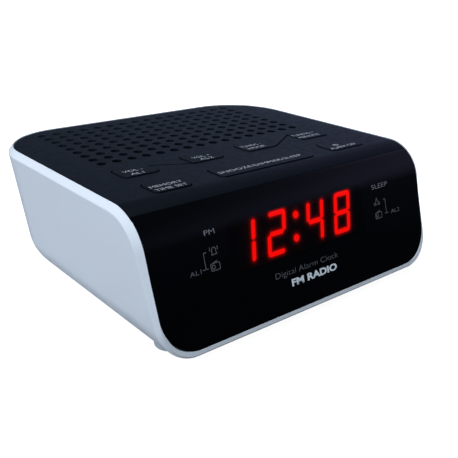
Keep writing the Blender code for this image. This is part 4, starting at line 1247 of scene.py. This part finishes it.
def area_light(name, at, size, power, colour):
    """A soft rectangular light, pointed at the radio. A fill leaves no reflection."""
    lamp = bpy.data.lights.new(name, "AREA")
    lamp.shape = "RECTANGLE"
    lamp.size, lamp.size_y = size
    lamp.energy = power
    lamp.color = colour
    made = placed(name, lamp)
    made.location = at
    made.rotation_euler = (Vector(LAMP_TARGET) - Vector(at)).to_track_quat("-Z", "Y").to_euler()
    made.visible_glossy = not name.startswith("fill")


def glow_towards(tree, place, direction, near, far, colour, heights=None):
    """Light that fades between two cosines from a direction, and down between two heights."""
    inputs = {0: place, 1: Vector(direction).normalized()}
    turned = node(tree, "VectorMath", inputs, operation="DOT_PRODUCT").outputs["Value"]
    fades = [ranged(tree, turned, far, near, smooth=True)]
    if heights:
        split = node(tree, "SeparateXYZ", {"Vector": place})
        fades.append(ranged(tree, split.outputs["Z"], *heights, smooth=True))
    return scaled(tree, colour, *fades)


def studio_floor():
    """A pale floor that looks white, darker under the front, and dim in reflections."""
    bm = bmesh.new()
    bmesh.ops.create_circle(bm, cap_ends=True, segments=96, radius=FLOOR_RADIUS)
    material = surface(
        "studio_floor", (0.57, 0.57, 0.57), 0.85, tint=0.004, tint_scale=6.0, grain=0.05,
        grain_scale=400.0,
    )
    tree, shader, place, _ = parts_of(material)
    inputs = {0: place, 1: SHADE_MIDDLE}
    away = node(tree, "VectorMath", inputs, operation="DISTANCE").outputs["Value"]
    shade = ranged(tree, away, *SHADE_REACH, SHADE_DEPTH, 1.0, smooth=True)
    seen = node(tree, "LightPath").outputs["Is Camera Ray"]
    feed(shader, {
        "Base Color": scaled(tree, base_colour(shader), shade),
        "Emission Color": WHITE,
        "Emission Strength": ranged(tree, seen, 0.0, 1.0, 0.0, FLOOR_GLOW),
    })
    dim = node(tree, "Emission", {"Color": (0.5, 0.55, 0.7, 1.0), "Strength": 0.03})
    mixed = ray_split(tree, "Is Glossy Ray", shader, dim)
    feed(tree.nodes["Material Output"], {"Surface": mixed})
    floor = object_from(bm, "studio_floor", material, smooth=False)


def room():
    """A white background, and light from a room: bright to the left and low behind."""
    world = bpy.data.worlds.new("studio")
    bpy.context.scene.world = world
    world.use_nodes = True
    tree = world.node_tree
    tree.nodes.clear()
    place = node(tree, "TexCoord").outputs["Generated"]
    glows = [
        glow_towards(tree, place, *glow)
        for glow in (
            ((-1.0, 0.0, 0.25), 0.95, -0.15, (0.90, 1.02, 1.16)),
            ((0.58, 0.80, 0.05), 0.995, 0.87, (0.205, 0.26, 0.41)),
            ((0.776, 0.395, 0.481), 0.985, 0.88, (0.148, 0.148, 0.266)),
            ((0.929, -0.136, -0.344), 0.99, 0.158, (0.209, 0.206, 0.367), (-0.057, 0.549)),
            ((0.0, 0.0, 1.0), 1.2, -1.2, (0.03, 0.035, 0.045)),
        )
    ]
    total = chained(tree, "VectorMath", "ADD", glows)
    usual = node(tree, "Background", {"Color": total, "Strength": 1.0})
    seen = node(tree, "Background", {"Color": WHITE, "Strength": 1.05})
    mixed = ray_split(tree, "Is Camera Ray", usual, seen)
    node(tree, "OutputWorld", {"Surface": mixed})


def photo_camera():
    """The camera at the photograph's place and angle."""
    data = bpy.data.cameras.new("photo_camera")
    data.lens = CAMERA_LENS
    data.sensor_width = 36.0
    data.clip_start = 0.01
    camera = placed("photo_camera", data)
    turn = Matrix((CAMERA_RIGHT, CAMERA_UP, CAMERA_BACK)).transposed()
    camera.matrix_world = Matrix.Translation(CAMERA_PLACE) @ turn.to_4x4()
    bpy.context.scene.camera = camera


studio_floor()
room()
area_light("soft_above", (-0.17, 0.1, 1.1), (0.92, 1.0), 8.4, (0.93, 0.925, 0.935))
area_light("fill_behind", (1.0, 0.55, 0.5), (0.8, 0.8), 4.5, (0.95, 0.98, 1.0))
area_light("fill_right", (1.1, -0.15, 0.35), (0.6, 0.6), 2.5, (0.95, 0.98, 1.0))
area_light("fill_front", (0.1, -0.9, 1.1), (0.6, 0.6), 1.3, (0.7, 1.0, 1.1))
photo_camera()
bpy.context.scene.view_settings.view_transform = "Standard"
